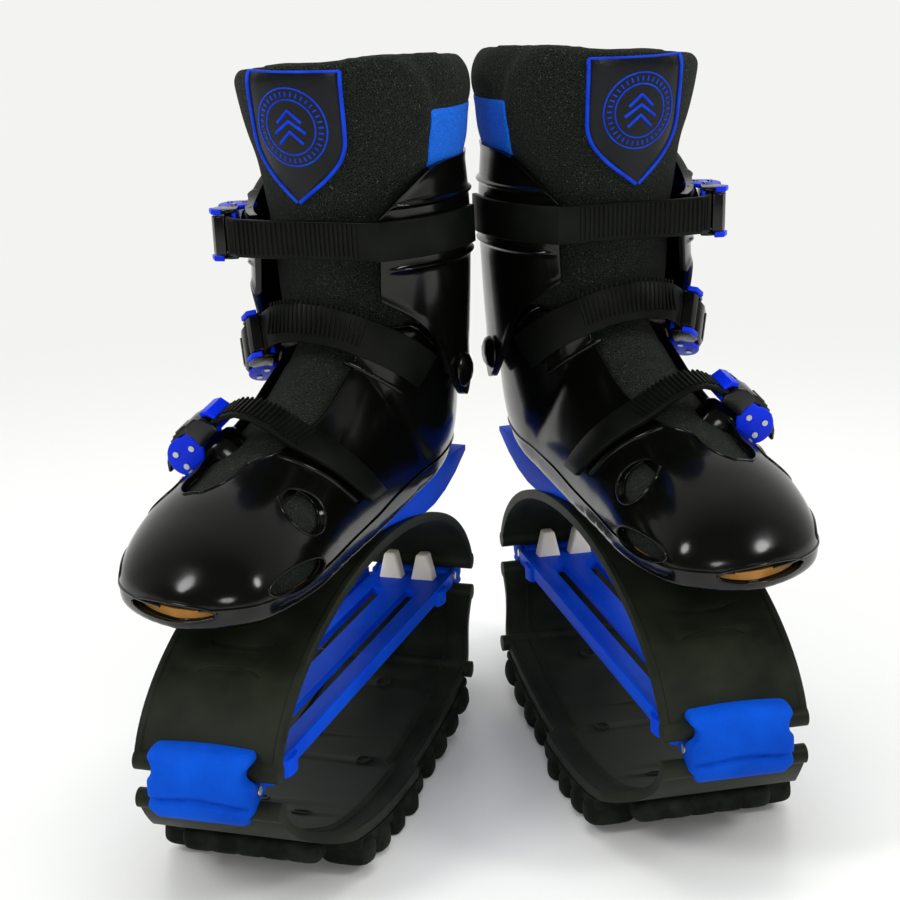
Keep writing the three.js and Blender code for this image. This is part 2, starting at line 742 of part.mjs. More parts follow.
/** Ankle part of the boot, with its sides moved in by the inset and a straight rise on its top. */
function shaftBody(inset, rise = 0, sides = footSides) {
  const ringAt = (size, z) => ellipseRing(
    size.front + inset, size.rear - inset, size.half - inset, z, sides);
  const rings = shaftLevelShares.map((share) => {
    const z = shaftBottom + (shaftTop - shaftBottom) * share;
    return ringAt(shaftAt(share), share > 0 ? z : z + inset);
  });
  if (rise > 0) {
    rings.push(ringAt(shaftAt(1), shaftTop + rise));
  }
  return loft(rings);
}

/** Throat of the shell, seen from the side and the front, as a body that cuts the opening. */
const throatShares = [[0, 0.55], [0.12, 0.8], [0.5, 0.92], [1, 1]];

function throatCutter(growth) {
  const top = shaftTop + overrun + dorsumHeight;
  const rings = throatShares.map(([share, widthShare]) => {
    const half = throatHalfWidth * widthShare + growth;
    const y = tongueToeY - growth + (tongueSideY - tongueToeY) * share;
    const low = tongueToeZ - overrun * 2;
    return [
      new THREE.Vector3(-half - overrun / 2, y, low), new THREE.Vector3(half - overrun / 2, y, low),
      new THREE.Vector3(half - overrun / 2, y, top), new THREE.Vector3(-half - overrun / 2, y, top),
    ];
  });
  return loft(rings);
}

/** Cutter for an oval vent, standing on a side of the shell. */
function ventCutter(x, y, z, along, up, through, tilt) {
  const vent = new THREE.CylinderGeometry(1, 1, through, roundSides);
  vent.rotateZ(Math.PI / 2);
  vent.scale(1, along / 2, up / 2);
  vent.rotateX(tilt);
  vent.translate(x, y, z);
  return vent;
}

// Openings of the shell: toe slot, low side vents and mesh windows
const toeSlotHalfWidth = 25;
const toeSlotHeight = 8;
const toeSlotZ = 13.6;
const toeSlotDepth = 24;
const sideVentLength = 58;
const sideVentHeight = 13;
const sideVentY = -96;
const sideVentZ = 19.6;
const windowLength = 32;
const windowHeight = 20;
const windowX = 40;
const windowY = -72;
const windowZ = 43.6;
const windowTilt = 0.12;

function bootShell() {
  const outer = join(footBody(0), shaftBody(0));
  const inner = join(footBody(shellWall), shaftBody(shellWall, overrun * 2));
  const slot = new THREE.CylinderGeometry(1, 1, toeSlotDepth, roundSides);
  slot.scale(toeSlotHalfWidth, 1, toeSlotHeight / 2);
  slot.translate(footHalfWidth * sideShiftShares[0][1] / 2, toeY + shellWall, toeSlotZ);
  const vents = [-1, 1].flatMap((side) => [
    ventCutter(side * footHalfWidth, sideVentY, sideVentZ, sideVentLength, sideVentHeight, footHalfWidth, 0),
    ventCutter(side * windowX, windowY, windowZ, windowLength, windowHeight, windowX / 2, windowTilt),
  ]);
  const rivetHole = crossRod(rivetRadius + clearance, cuffHalfWidth + overrun, ankleY, ankleZ);
  const pads = ['toe', 'instep'].map((name) => bucklePad(name, shellPadRoot));
  const bolts = [frontBoltY, rearBoltY].flatMap((y) => {
    const floor = soleLevel(y);
    const seat = floor + shellWall - clearance;
    return [
      uprightRod(boltRadius + clearance, 0, y, floor - overrun, seat + overrun),
      uprightRod(boltHeadRadius + clearance, 0, y, seat, seat + overrun),
    ];
  });
  return cut(join(outer, ...pads), inner, throatCutter(0), slot, ...vents, rivetHole, ...bolts);
}

/** Height of the boot's bottom at a place along it. */
function soleLevel(y) {
  return footAt((y - toeY) / bootLength, 0).bottom;
}

// Cuff

/** Point on the cuff's outer face at an angle from the front and a height, moved out. */
function cuffAt(angle, z, out) {
  const lean = cuffLean * Math.max(z - cuffLeanStart, 0);
  return new THREE.Vector3(
    shaftCentreX + sideLeanAt(z) + (cuffHalfWidth + out) * Math.sin(angle),
    cuffCentreY - lean - (cuffHalfDepth + out) * Math.cos(angle), z);
}

const cuffTopShares = [[0, 0], [0.1, 0.45], [0.24, 0.9], [0.45, 1], [1, 1]];
const cuffBottomShares = [[0, 1], [0.12, 0.8], [0.22, 0.55], [0.31, 0.2], [0.36, 0.02], [0.43, -0.12], [0.5, -0.02],
  [0.62, 0], [1, 0]];
const cuffNotchShares = [[0, 0], [0.1, 1], [0.25, 1], [0.36, 0.3], [0.45, 0], [1, 0]];
const cuffColumns = 20;

function cuff() {
  const wing = THREE.MathUtils.degToRad(cuffWingAngle);
  const channel = [cuffStrapZ - cuffStrapChannel / 2, cuffStrapZ + cuffStrapChannel / 2];
  const outer = [];
  const inner = [];
  for (let i = 0; i <= cuffColumns; i++) {
    const turn = i / cuffColumns;
    const angle = wing + (2 * Math.PI - 2 * wing) * turn;
    const fromWingShare = 1 - Math.abs(2 * turn - 1);
    const top = cuffWingTop + (cuffTop - cuffWingTop) * fromShares(cuffTopShares, fromWingShare);
    const notch = turn > 1 / 2 ? cuffOuterNotch * fromShares(cuffNotchShares, fromWingShare) : 0;
    const low = cuffBottom + (cuffWingBottom - cuffBottom) * fromShares(cuffBottomShares, fromWingShare) + notch;
    const levels = [
      [low, 0], [(low + channel[0] - cuffRidgeWidth) / 2, 0], [channel[0] - cuffRidgeWidth, 0],
      [channel[0] - cuffRidgeWidth / 2, cuffRidgeHeight], [channel[0], 0], [channel[1], 0],
    ].map(([z, out], row) => [Math.max(z, low + row * cuffRidgeWidth / 4), out]);
    if (top > channel[1] + cuffRidgeWidth) {
      levels.push([channel[1] + cuffRidgeWidth / 2, cuffRidgeHeight], [channel[1] + cuffRidgeWidth, 0]);
    } else {
      levels.push([channel[1] + (top - channel[1]) / 3, 0], [channel[1] + (top - channel[1]) * 2 / 3, 0]);
    }
    levels.push([top, 0]);
    outer.push(levels.map(([z, out]) => cuffAt(angle, z, out)));
    inner.push(levels.map(([z]) => cuffAt(angle, z, -cuffWall)));
  }
  const rivetHole = crossRod(rivetRadius + clearance, cuffHalfWidth + overrun, ankleY, ankleZ);
  return cut(join(thickSheet(outer, inner), bucklePad('cuff', cuffPadRoot)), rivetHole);
}

// Shoulder of a rivet's domed head
const domeWidthShare = 0.7;
const domeHeightShare = 0.85;

/** Ankle rivet on one side: a domed head outside the cuff and a stem through cuff and shell. */
function ankleRivet(side) {
  const seat = cuffHalfWidth + clearance + runningGap;
  const shaftSide = shaftAt((ankleZ - shaftBottom) / (shaftTop - shaftBottom)).half;
  const stem = seat - shaftSide + shellWall / 2;
  const profile = [
    new THREE.Vector2(0, -stem), new THREE.Vector2(rivetRadius, -stem), new THREE.Vector2(rivetRadius, 0),
    new THREE.Vector2(rivetHeadRadius, 0), new THREE.Vector2(rivetHeadRadius, rivetHeadHeight / 3),
    new THREE.Vector2(rivetHeadRadius * domeWidthShare, rivetHeadHeight * domeHeightShare),
    new THREE.Vector2(0, rivetHeadHeight),
  ];
  const rivet = new THREE.LatheGeometry(profile, roundSides);
  rivet.rotateZ(side > 0 ? -Math.PI / 2 : Math.PI / 2);
  rivet.translate(shaftCentreX + side * seat, 0, 0);
  return rivet;
}

// Inner boot

const linerFrontShares = [[0, 0], [0.25, 0.2], [0.5, 0.55], [1, 1]];
const linerWidthShares = [[0, 0], [0.2, 0.36], [0.35, 0.46], [0.5, 0.5], [0.66, 0.5], [0.84, 0.82], [1, 1]];
const linerLevelShares = [0, 0.12, 0.25, 0.4, 0.66, 0.84, 1];

/** Half-width, front and rear of the inner boot above the shell, at a share of its height. */
function linerAt(share) {
  const base = shellWall + clearance;
  const [lowHalf, lowFront, lowRear] = [shaftHalfWidth - base, shaftFrontY + base, shaftRearY - base];
  return {
    half: lowHalf + (linerHalfWidth - lowHalf) * fromShares(linerWidthShares, share),
    front: lowFront + (linerFrontTopY - lowFront) * fromShares(linerFrontShares, share),
    rear: lowRear + (linerRearTopY - lowRear) * share,
  };
}

/** Upper part of the inner boot, above the shell, with a straight rise on its top. */
function linerShaft(inset, rise, sides) {
  const ringAt = (size, z) => ellipseRing(
    size.front + inset, size.rear - inset, size.half - inset, z, sides);
  const rings = linerLevelShares.map(
    (share) => ringAt(linerAt(share), shaftTop + (linerTop - shaftTop) * share));
  if (rise > 0) {
    rings.push(ringAt(linerAt(1), linerTop + rise));
  }
  return loft(rings);
}

function linerBody() {
  const base = shellWall + clearance;
  return join(footBody(base), shaftBody(base), linerShaft(0, 0, footSides));
}

/** Body that divides the tongue from the rest of the inner boot, seen from the side. */
function tongueCutter(growth) {
  const front = toeY - bootLength;
  const shape = new THREE.Shape([
    new THREE.Vector2(tongueSideY + growth, tongueSideZ - growth),
    new THREE.Vector2(tongueSideY + growth, linerTop + overrun * 2),
    new THREE.Vector2(front, linerTop + overrun * 2), new THREE.Vector2(front, tongueToeZ - growth),
    new THREE.Vector2(tongueToeY, tongueToeZ - growth),
  ]);
  return extrudeAcross(shape, footHalfWidth * 2);
}

/** Body above the sloping rim of the inner boot. */
function rimCutter() {
  const shape = new THREE.Shape([
    new THREE.Vector2(toeY, linerTop + (linerTop - linerRearTop) / 2),
    new THREE.Vector2(bootLength, linerRearTop - (linerTop - linerRearTop)),
    new THREE.Vector2(bootLength, linerTop + overrun * 4), new THREE.Vector2(toeY, linerTop + overrun * 4),
  ]);
  return extrudeAcross(shape, footHalfWidth * 2);
}

function innerBoot() {
  const fewStations = footStationShares.filter((_, i) => i % 2 === 0);
  const cavity = join(
    footBody(shellWall + clearance + linerFootWall, cavitySides, fewStations),
    shaftBody(shellWall + linerWall, overrun, cavitySides), linerShaft(linerWall, overrun * 2, cavitySides));
  return cut(linerBody(), cavity, rimCutter());
}

function insoleBlank(growth) {
  const low = shellWall + clearance - growth;
  const floor = block(
    new THREE.Vector3(-footHalfWidth * 2, toeY, 0),
    new THREE.Vector3(footHalfWidth * 2, toeY + bootLength / 2, low + insoleThickness + growth * 2));
  return overlap(footBody(low), floor);
}

const parts = {};
const whole = innerBoot();
parts.liner = cut(whole, tongueCutter(clearance), insoleBlank(clearance));
parts.tongue = overlap(whole, tongueCutter(0));
parts.insole = insoleBlank(0);

// Badge

/** Point on the front of the inner boot at a height and a distance across, moved out. */
function linerFrontAt(x, z, out) {
  const size = linerAt((z - shaftTop) / (linerTop - shaftTop));
  const across = (x - shaftCentreX - sideLeanAt(z)) / size.half;
  const deep = (size.rear - size.front) / 2 * Math.sqrt(1 - across * across);
  return new THREE.Vector3(x, (size.front + size.rear) / 2 - deep - out, z);
}

const badgeRowShares = [0, 0.06, 0.3, 0.6, 0.8, 1];
const badgeHalfShares = [[0, 1], [0.06, 0.98], [0.3, 0.9], [0.6, 0.92], [0.8, 0.55], [1, 0.04]];
const badgeColumns = 4;

function badge() {
  const outer = [];
  const inner = [];
  for (const share of badgeRowShares) {
    const z = badgeTopZ - badgeHeight * share;
    const half = badgeWidth / 2 * fromShares(badgeHalfShares, share);
    const row = Array.from({ length: badgeColumns + 1 }, (_, j) => half * (2 * j / badgeColumns - 1));
    outer.push(row.map((x) => linerFrontAt(x, z, clearance * 2 + badgeThickness)));
    inner.push(row.map((x) => linerFrontAt(x, z, clearance * 2)));
  }
  return thickSheet(outer, inner);
}

// Wedge and bolts between the arch and the boot

const wedgeHalfWidth = 34;
const wedgeFrontY = 14;
const wedgeRearY = 136;
const wedgeLeaveY = 72;
const wedgeSteps = 8;
const wedgeTip = 3;

function heelWedge() {
  const top = [];
  const bottom = [];
  for (let i = 0; i <= wedgeSteps; i++) {
    const y = wedgeFrontY + (wedgeRearY - wedgeFrontY) * i / wedgeSteps;
    top.push(new THREE.Vector2(y, soleLevel(y) - clearance));
  }
  const leave = new THREE.Vector2(wedgeLeaveY, archTopAt(wedgeLeaveY));
  for (let i = 0; i <= wedgeSteps; i++) {
    const y = wedgeFrontY + (wedgeLeaveY - wedgeFrontY) * i / wedgeSteps;
    bottom.push(new THREE.Vector2(y, archTopAt(y)));
  }
  const tip = top[top.length - 1];
  const shape = new THREE.Shape(bottom);
  shape.quadraticCurveTo((leave.x + tip.x) / 2, leave.y, tip.x, tip.y - wedgeTip);
  for (const point of top.reverse()) {
    shape.lineTo(point.x, point.y);
  }
  const hole = uprightRod(boltRadius + clearance, 0, rearBoltY, -dorsumHeight, dorsumHeight);
  return cut(
    extrudeAcross(shape, wedgeHalfWidth), hole, footBody(-clearance), inBootFrame(upperArchBlank(runningGap)));
}

/** Geometry drawn in the shoe's frame, moved into the turned frame of the boot. */
function inBootFrame(geometry) {
  geometry.translate(-bootShift, -bootTurnY, -soleHeight);
  geometry.rotateZ(THREE.MathUtils.degToRad(bootToeOut));
  geometry.translate(0, bootTurnY, 0);
  return geometry;
}

/** Height above the sole of the upper arch's rims at a place along it, with the clearance above them. */
function archTopAt(y) {
  const share = Math.min(Math.abs(y) / archHalfLength, 1);
  return hingeHeight + upperArchRise * Math.sqrt(1 - share * share) + rimHeight + clearance * 2 - soleHeight;
}

/** Bolt through the boot's floor and the upper arch, with its nut below. */
function soleBolt(y) {
  const place = boltPlace(y);
  const archTop = archTopAt(place.y) - rimHeight - clearance * 2;
  const floor = soleLevel(y);
  const under = archTop - archWall - clearance * 4;
  const seat = floor + shellWall;
  const profile = [
    new THREE.Vector2(0, under - nutHeight), new THREE.Vector2(nutRadius, under - nutHeight),
    new THREE.Vector2(nutRadius, under - clearance), new THREE.Vector2(boltRadius, under - clearance),
    new THREE.Vector2(boltRadius, seat), new THREE.Vector2(boltHeadRadius, seat),
    new THREE.Vector2(boltHeadRadius, seat + boltHeadHeight), new THREE.Vector2(0, seat + boltHeadHeight),
  ];
  const bolt = new THREE.LatheGeometry(profile, roundSides);
  bolt.rotateX(Math.PI / 2);
  return bolt;
}

// Straps and buckles

/** Whether a point lies inside the boot's outer form, with or without its cuff. */
function insideBoot(point, withCuff) {
  const { x, y, z } = point;
  const share = (y - toeY) / bootLength;
  if (share > 0 && share < 1) {
    const size = footAt(share, 0);
    const across = (x - size.shift) / size.half;
    const rise = (z - size.level) / (size.top - size.level);
    if (z > size.bottom && Math.abs(across) < 1 && (rise < 0 || across ** 2 + rise ** 2 < 1)) {
      return true;
    }
  }
  const centreX = shaftCentreX + sideLeanAt(z);
  const inRing = (size) => {
    const deep = (size.rear - size.front) / 2;
    return ((x - centreX) / size.half) ** 2 + ((y - (size.front + size.rear) / 2) / deep) ** 2 < 1;
  };
  const height = (z - shaftBottom) / (shaftTop - shaftBottom);
  if (height > 0 && height < 1 && inRing(shaftAt(height))) {
    return true;
  }
  if (height >= 1 && z < linerTop && inRing(linerAt((z - shaftTop) / (linerTop - shaftTop)))) {
    return true;
  }
  const centreY = cuffCentreY - cuffLean * Math.max(z - cuffLeanStart, 0);
  const turn = Math.atan2(Math.abs(x - centreX) / cuffHalfWidth, (centreY - y) / cuffHalfDepth);
  return withCuff && turn > THREE.MathUtils.degToRad(cuffWingAngle) && inRing({
    half: cuffHalfWidth, front: centreY - cuffHalfDepth, rear: centreY + cuffHalfDepth });
}

/** Last point of the boot along a ray from inside it. */
function surfaceFrom(start, direction, withCuff) {
  let far = cuffHalfDepth * 2;
  while (far > 0 && !insideBoot(start.clone().addScaledVector(direction, far), withCuff)) {
    far -= runningGap;
  }
  return start.clone().addScaledVector(direction, far);
}

/** Path without its hollows, as a strap pulled tight lies, with a point at every station. */
function pulledTight(path, axis) {
  const kept = [...path];
  let i = 1;
  while (i + 1 < kept.length) {
    const before = kept[i].clone().sub(kept[i - 1]);
    const after = kept[i + 1].clone().sub(kept[i]);
    if (before.cross(after).dot(axis) < 0) {
      kept.splice(i, 1);
      i = Math.max(i - 1, 1);
    } else {
      i += 1;
    }
  }
  const lengths = [0];
  for (let j = 1; j < kept.length; j++) {
    lengths.push(lengths[j - 1] + kept[j].distanceTo(kept[j - 1]));
  }
  const total = lengths[lengths.length - 1];
  return Array.from({ length: strapColumns + 1 }, (_, index) => {
    const at = total * index / strapColumns;
    let j = 1;
    while (j + 1 < kept.length && lengths[j] < at) {
      j += 1;
    }
    const share = (at - lengths[j - 1]) / (lengths[j] - lengths[j - 1]);
    return kept[j - 1].clone().lerp(kept[j], share);
  });
}

/** Start and direction of a strap's ray at a share of its run and a distance across its width. */
const strapRays = {
  toe(share, across) {
    const turn = THREE.MathUtils.degToRad(
      -toeStrapOuterTurn + (toeStrapOuterTurn + toeStrapInnerTurn) * share);
    const y = toeStrapOuterY + (toeStrapInnerY - toeStrapOuterY) * Math.max(2 * share - 1, 0) ** 2 + across;
    return [new THREE.Vector3(0, y, toeStrapZ), new THREE.Vector3(Math.sin(turn), 0, Math.cos(turn))];
  },
  instep(share, across) {
    const turn = THREE.MathUtils.degToRad(
      -instepStrapOuterTurn + (instepStrapOuterTurn + instepStrapInnerTurn) * share);
    const slope = THREE.MathUtils.degToRad(instepStrapSlope);
    const [c, s] = [Math.cos(slope), Math.sin(slope)];
    const start = new THREE.Vector3(shaftCentreX, instepStrapY + across * s, instepStrapZ + across * c);
    return [start, new THREE.Vector3(Math.sin(turn), -Math.cos(turn) * c, Math.cos(turn) * s)];
  },
  cuff(share, across) {
    const turn = THREE.MathUtils.degToRad(
      -cuffStrapOuterTurn + (cuffStrapOuterTurn + cuffStrapInnerTurn) * share);
    const z = cuffStrapZ + across;
    return [
      new THREE.Vector3(shaftCentreX + sideLeanAt(z), cuffCentreY - cuffLean * (z - cuffLeanStart), z),
      new THREE.Vector3(Math.sin(turn), -Math.cos(turn), 0)];
  },
};

/** Both edges of a strap's run over the boot, from the outer side to the inner side. */
function strapEdges(name) {
  return [-strapWidth / 2, strapWidth / 2].map((across) => {
    const path = [];
    for (let i = 0; i <= strapRayCount; i++) {
      const [start, direction] = strapRays[name](i / strapRayCount, across);
      path.push(surfaceFrom(start, direction, name === 'cuff'));
    }
    const [first, middle, last] = [path[0], path[strapRayCount / 2], path[strapRayCount]];
    const axis = middle.clone().sub(first).cross(last.clone().sub(middle));
    return pulledTight(path, axis);
  });
}

/** Place and directions of a strap at one of its stations: along it, across it and out of the boot. */
function strapStation(edges, i) {
  const [low, high] = edges;
  const middle = low[i].clone().lerp(high[i], 1 / 2);
  const both = (j) => low[j].clone().add(high[j]);
  const along = i > 0
    ? both(Math.min(i + 1, strapColumns)).sub(both(i - 1)).normalize()
    : both(1).multiplyScalar(4).sub(both(2)).addScaledVector(both(0), -3).normalize();
  const across = high[i].clone().sub(low[i]).normalize();
  const out = new THREE.Vector3().crossVectors(along, across).normalize();
  if (out.dot(middle.clone().sub(new THREE.Vector3(0, middle.y / 2 + cuffCentreY / 2, instepStrapZ / 2))) < 0) {
    out.negate();
  }
  return { middle, along, across, out };
}

// Distance from the buckle, in frame lengths, over which a strap comes down to the boot
const strapSettleShare = 1.5;

/** Strap over the boot, raised at its outer end to run through the buckle's frame. */
function strap(name) {
  const edges = strapEdges(name);
  const outer = [];
  const inner = [];
  const buckle = strapStation(edges, 0);
  const raised = frameSeat + frameWall + clearance;
  for (let i = 0; i <= strapColumns; i++) {
    const { middle, across, out } = strapStation(edges, i);
    const run = middle.distanceTo(buckle.middle);
    const settled = THREE.MathUtils.smoothstep(run, frameLength / 2, frameLength * strapSettleShare);
    const straight = buckle.middle.clone().addScaledVector(buckle.along, run).addScaledVector(buckle.out, raised);
    const base = straight.lerp(middle.clone().addScaledVector(out, strapLift), settled);
    const lift = buckle.out.clone().lerp(out, settled).normalize().multiplyScalar(strapThickness);
    const wide = buckle.across.clone().lerp(across, settled).normalize();
    const row = [-1, 1].map((side) => base.clone().addScaledVector(wide, side * strapWidth / 2));
    inner.push(row);
    outer.push(row.map((point) => point.clone().add(lift)));
  }
  return thickSheet(outer, inner);
}

/** Frame of a buckle, with x along the strap, y across it and z out of the boot. */
function buckleFrame() {
  const [half, width, wall] = [frameLength / 2, frameWidth / 2, frameWall];
  const base = block(
    new THREE.Vector3(-half, -width, frameSeat), new THREE.Vector3(half, width, frameSeat + wall));
  const cheek = new THREE.Shape();
  cheek.moveTo(-half, frameSeat);
  cheek.lineTo(half, frameSeat);
  cheek.lineTo(half, frameSeat + frameHeight / 2);
  cheek.quadraticCurveTo(half, frameHeight, leverPinAlong + leverPinRadius, frameHeight);
  cheek.lineTo(leverPinAlong - half / 2, frameHeight);
  cheek.quadraticCurveTo(-half / 2, frameHeight / 2, -half, frameHeight / 2);
  const cheeks = [-1, 1].map((side) => {
    const plate = new THREE.ExtrudeGeometry(cheek, { depth: wall, bevelEnabled: false, curveSegments: 4 });
    plate.rotateX(Math.PI / 2);
    plate.translate(0, side > 0 ? width : wall - width, 0);
    return plate;
  });
  const pin = new THREE.CylinderGeometry(leverPinRadius, leverPinRadius, frameWidth - wall, roundSides);
  pin.translate(leverPinAlong, 0, leverPinHeight);
  return join(base, ...cheeks, pin);
}

// Height of the lever's bow over its hub
const leverBowShare = 1.4;

/** Lever of a buckle, drawn about its pin, with x along the strap and z out of the boot. */
function buckleLever() {
  const width = frameWidth / 2 - frameWall - runningGap;
  const hub = leverPinRadius + leverThickness / 2;
  const low = frameSeat + frameWall + clearance + strapThickness + clearance - leverPinHeight;
  const shape = new THREE.Shape();
  shape.moveTo(hub, 0);
  shape.quadraticCurveTo(hub, hub, 0, hub);
  shape.quadraticCurveTo(-leverLength / 2, hub * leverBowShare, -leverLength, hub / 2);
  shape.lineTo(-leverLength, hub / 2 - leverThickness);
  shape.quadraticCurveTo(-leverLength / 2, low, 0, low);
  shape.quadraticCurveTo(hub, low, hub, 0);
  const lever = new THREE.ExtrudeGeometry(shape, { depth: 2 * width, bevelEnabled: false, curveSegments: 4 });
  lever.rotateX(Math.PI / 2);
  lever.translate(0, width, 0);
  const bore = new THREE.CylinderGeometry(
    leverPinRadius + clearance, leverPinRadius + clearance, frameWidth, roundSides);
  return cut(lever, bore);
}

/** Place of the outer end of a strap, with x along the strap and z out of the boot. */
function strapEnd(name) {
  const { middle, along, out } = strapStation(strapEdges(name), 0);
  const across = new THREE.Vector3().crossVectors(out, along).normalize();
  return new THREE.Matrix4().makeBasis(along, across, out).setPosition(middle);
}

/** Stands a buckle's piece on the outer end of a strap. */
function seatOnStrap(mesh, name, along, height) {
  const end = strapEnd(name);
  mesh.quaternion.setFromRotationMatrix(end);
  mesh.position.set(along, 0, height).applyMatrix4(end);
}

/** Oval pad that carries a buckle, rooted in the boot below it. */
function bucklePad(name, root) {
  const top = frameSeat - clearance;
  const pad = new THREE.CylinderGeometry(1, 1, 1, roundSides + 2);
  pad.rotateX(Math.PI / 2);
  pad.scale(padLength / 2, padWidth / 2, top + root);
  pad.translate(0, 0, (top - root) / 2);
  pad.applyMatrix4(strapEnd(name));
  return pad;
}

const boltHead = (y) => uprightRod(
  boltHeadRadius + clearance, 0, y, 0,
  soleLevel(y) + shellWall + boltHeadHeight + clearance * 2);
parts.insole = cut(parts.insole, boltHead(frontBoltY), boltHead(rearBoltY));
parts.liner = cut(parts.liner, boltHead(frontBoltY), boltHead(rearBoltY));

/** One shoe, with every mesh's name led by its side. */
function shoe(side) {
  const group = new THREE.Group();
  const boot = new THREE.Group();
  const add = (parent, name, geometry, finish, x = 0, y = 0, z = 0) => {
    const mesh = new THREE.Mesh(geometry, finish);
    mesh.name = `${side}_${name}`;
    mesh.position.set(x, y, z);
    parent.add(mesh);
    return mesh;
  };
  add(group, 'lower_arch', lowerArch(), finishes.archPlastic);
  add(group, 'tread', tread(), finishes.treadRubber);
  add(group, 'upper_arch', upperArch(), finishes.archPlastic);
  add(group, 'front_cap', endCap(-1), finishes.blueClip);
  add(group, 'rear_cap', endCap(1), finishes.blueClip);
  add(group, 'front_pin', hingePin(), finishes.steel, 0, -hingeY, hingeHeight);
  add(group, 'rear_pin', hingePin(), finishes.steel, 0, hingeY, hingeHeight);
  add(group, 'tension_band', tensionBand(), finishes.blueBand);
  add(group, 'spring_lug_inner', springLug(), finishes.creamRubber, lugOffset, lugY, 0);
  add(group, 'spring_lug_outer', springLug(), finishes.creamRubber, -lugOffset, lugY, 0);
  add(boot, 'heel_wedge', heelWedge(), finishes.blueBand);
  add(boot, 'boot_shell', bootShell(), finishes.blackShell);
  add(boot, 'cuff', cuff(), finishes.blackShell);
  add(boot, 'liner', parts.liner, finishes.blackMesh);
  add(boot, 'tongue', parts.tongue, finishes.blackMesh);
  add(boot, 'insole', parts.insole, finishes.tanInsole);
  add(boot, 'badge', badge(), finishes.badgeLeather);
  add(boot, 'ankle_rivet_inner', ankleRivet(1), finishes.blackShell, 0, ankleY, ankleZ);
  add(boot, 'ankle_rivet_outer', ankleRivet(-1), finishes.blackShell, 0, ankleY, ankleZ);
  add(boot, 'sole_bolt_front', soleBolt(frontBoltY), finishes.steel, 0, frontBoltY, 0);
  add(boot, 'sole_bolt_rear', soleBolt(rearBoltY), finishes.steel, 0, rearBoltY, 0);
  for (const name of ['toe', 'instep', 'cuff']) {
    add(boot, `${name}_strap`, strap(name), finishes.strapPlastic);
    seatOnStrap(add(boot, `${name}_buckle_frame`, buckleFrame(), finishes.blueClip), name, 0, 0);
    seatOnStrap(
      add(boot, `${name}_buckle_lever`, buckleLever(), finishes.leverPlastic), name,
      leverPinAlong, leverPinHeight);
  }
  boot.position.set(bootShift, bootTurnY, soleHeight);
  boot.rotation.z = -THREE.MathUtils.degToRad(bootToeOut);
  boot.children.forEach((mesh) => mesh.position.set(mesh.position.x, mesh.position.y - bootTurnY, mesh.position.z));
  group.add(boot);
  return group;
}

const pair = new THREE.Group();
const right = shoe('right');
right.position.set(-halfSpacing, 0, 0);
right.rotation.z = -THREE.MathUtils.degToRad(rightToeOut);
const left = shoe('left');
left.scale.x = -1;
left.position.set(halfSpacing, leftSetBack, 0);
left.rotation.z = THREE.MathUtils.degToRad(leftToeOut);
pair.add(right, left);
pair.updateMatrixWorld(true);
const bounds = new THREE.Box3().setFromObject(pair, true);
const centre = bounds.getCenter(new THREE.Vector3());
right.position.sub(new THREE.Vector3(centre.x, centre.y, bounds.min.z));
left.position.sub(new THREE.Vector3(centre.x, centre.y, bounds.min.z));

export default pair;
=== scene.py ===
"""Pair of jumping shoes: hard boots on sprung arches, dressed and lit for a studio picture."""
import json
import logging
from dataclasses import dataclass, field
from enum import Enum
from math import asin, atan2, copysign, cos, exp, pi, radians, sin
from typing import Callable, ClassVar, Iterable, Sequence

import bmesh
import bpy
from bpy.types import ID, Material, Node, NodeSocket, NodeTree, Object
from mathutils import Matrix, Vector
from mathutils.bvhtree import BVHTree


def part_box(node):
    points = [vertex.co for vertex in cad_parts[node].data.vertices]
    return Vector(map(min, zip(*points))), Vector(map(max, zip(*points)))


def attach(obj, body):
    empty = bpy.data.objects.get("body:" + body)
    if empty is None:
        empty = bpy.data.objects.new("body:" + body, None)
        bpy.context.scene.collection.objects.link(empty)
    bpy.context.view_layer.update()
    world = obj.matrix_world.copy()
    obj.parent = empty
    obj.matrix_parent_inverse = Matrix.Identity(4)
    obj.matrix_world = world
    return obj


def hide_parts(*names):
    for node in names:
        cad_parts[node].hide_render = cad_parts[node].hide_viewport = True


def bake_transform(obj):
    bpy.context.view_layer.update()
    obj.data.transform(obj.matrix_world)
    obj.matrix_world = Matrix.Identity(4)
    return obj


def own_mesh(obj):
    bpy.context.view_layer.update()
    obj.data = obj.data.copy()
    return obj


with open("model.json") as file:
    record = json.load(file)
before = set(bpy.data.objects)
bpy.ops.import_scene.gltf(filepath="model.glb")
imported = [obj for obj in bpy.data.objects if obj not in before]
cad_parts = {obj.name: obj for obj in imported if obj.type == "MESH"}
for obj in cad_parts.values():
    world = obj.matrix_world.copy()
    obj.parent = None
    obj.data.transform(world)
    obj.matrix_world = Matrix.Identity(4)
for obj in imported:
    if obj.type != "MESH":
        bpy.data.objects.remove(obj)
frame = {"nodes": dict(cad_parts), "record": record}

log = logging.getLogger("jumping_shoes")
MM = 0.001
UP = Vector((0, 0, 1))
Pair = tuple[float, float]
Pairs = Sequence[Pair]
Triple = tuple[float, float, float]
Placer = Callable[[float, float, float], Vector]


class Side(Enum):
    """The two shoes; each one's own x points to its inner side."""

    RIGHT = "right"
    LEFT = "left"

    def node(self, name: str) -> str:
        """Name of this shoe's node."""
        return f"{self.value}_{name}"


# Where each shoe stands: the left one mirrored, and turned the other way


def middle_of(name: str) -> Vector:
    """Middle of a CAD node's box at rest."""
    return sum(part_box(name), Vector()) / 2


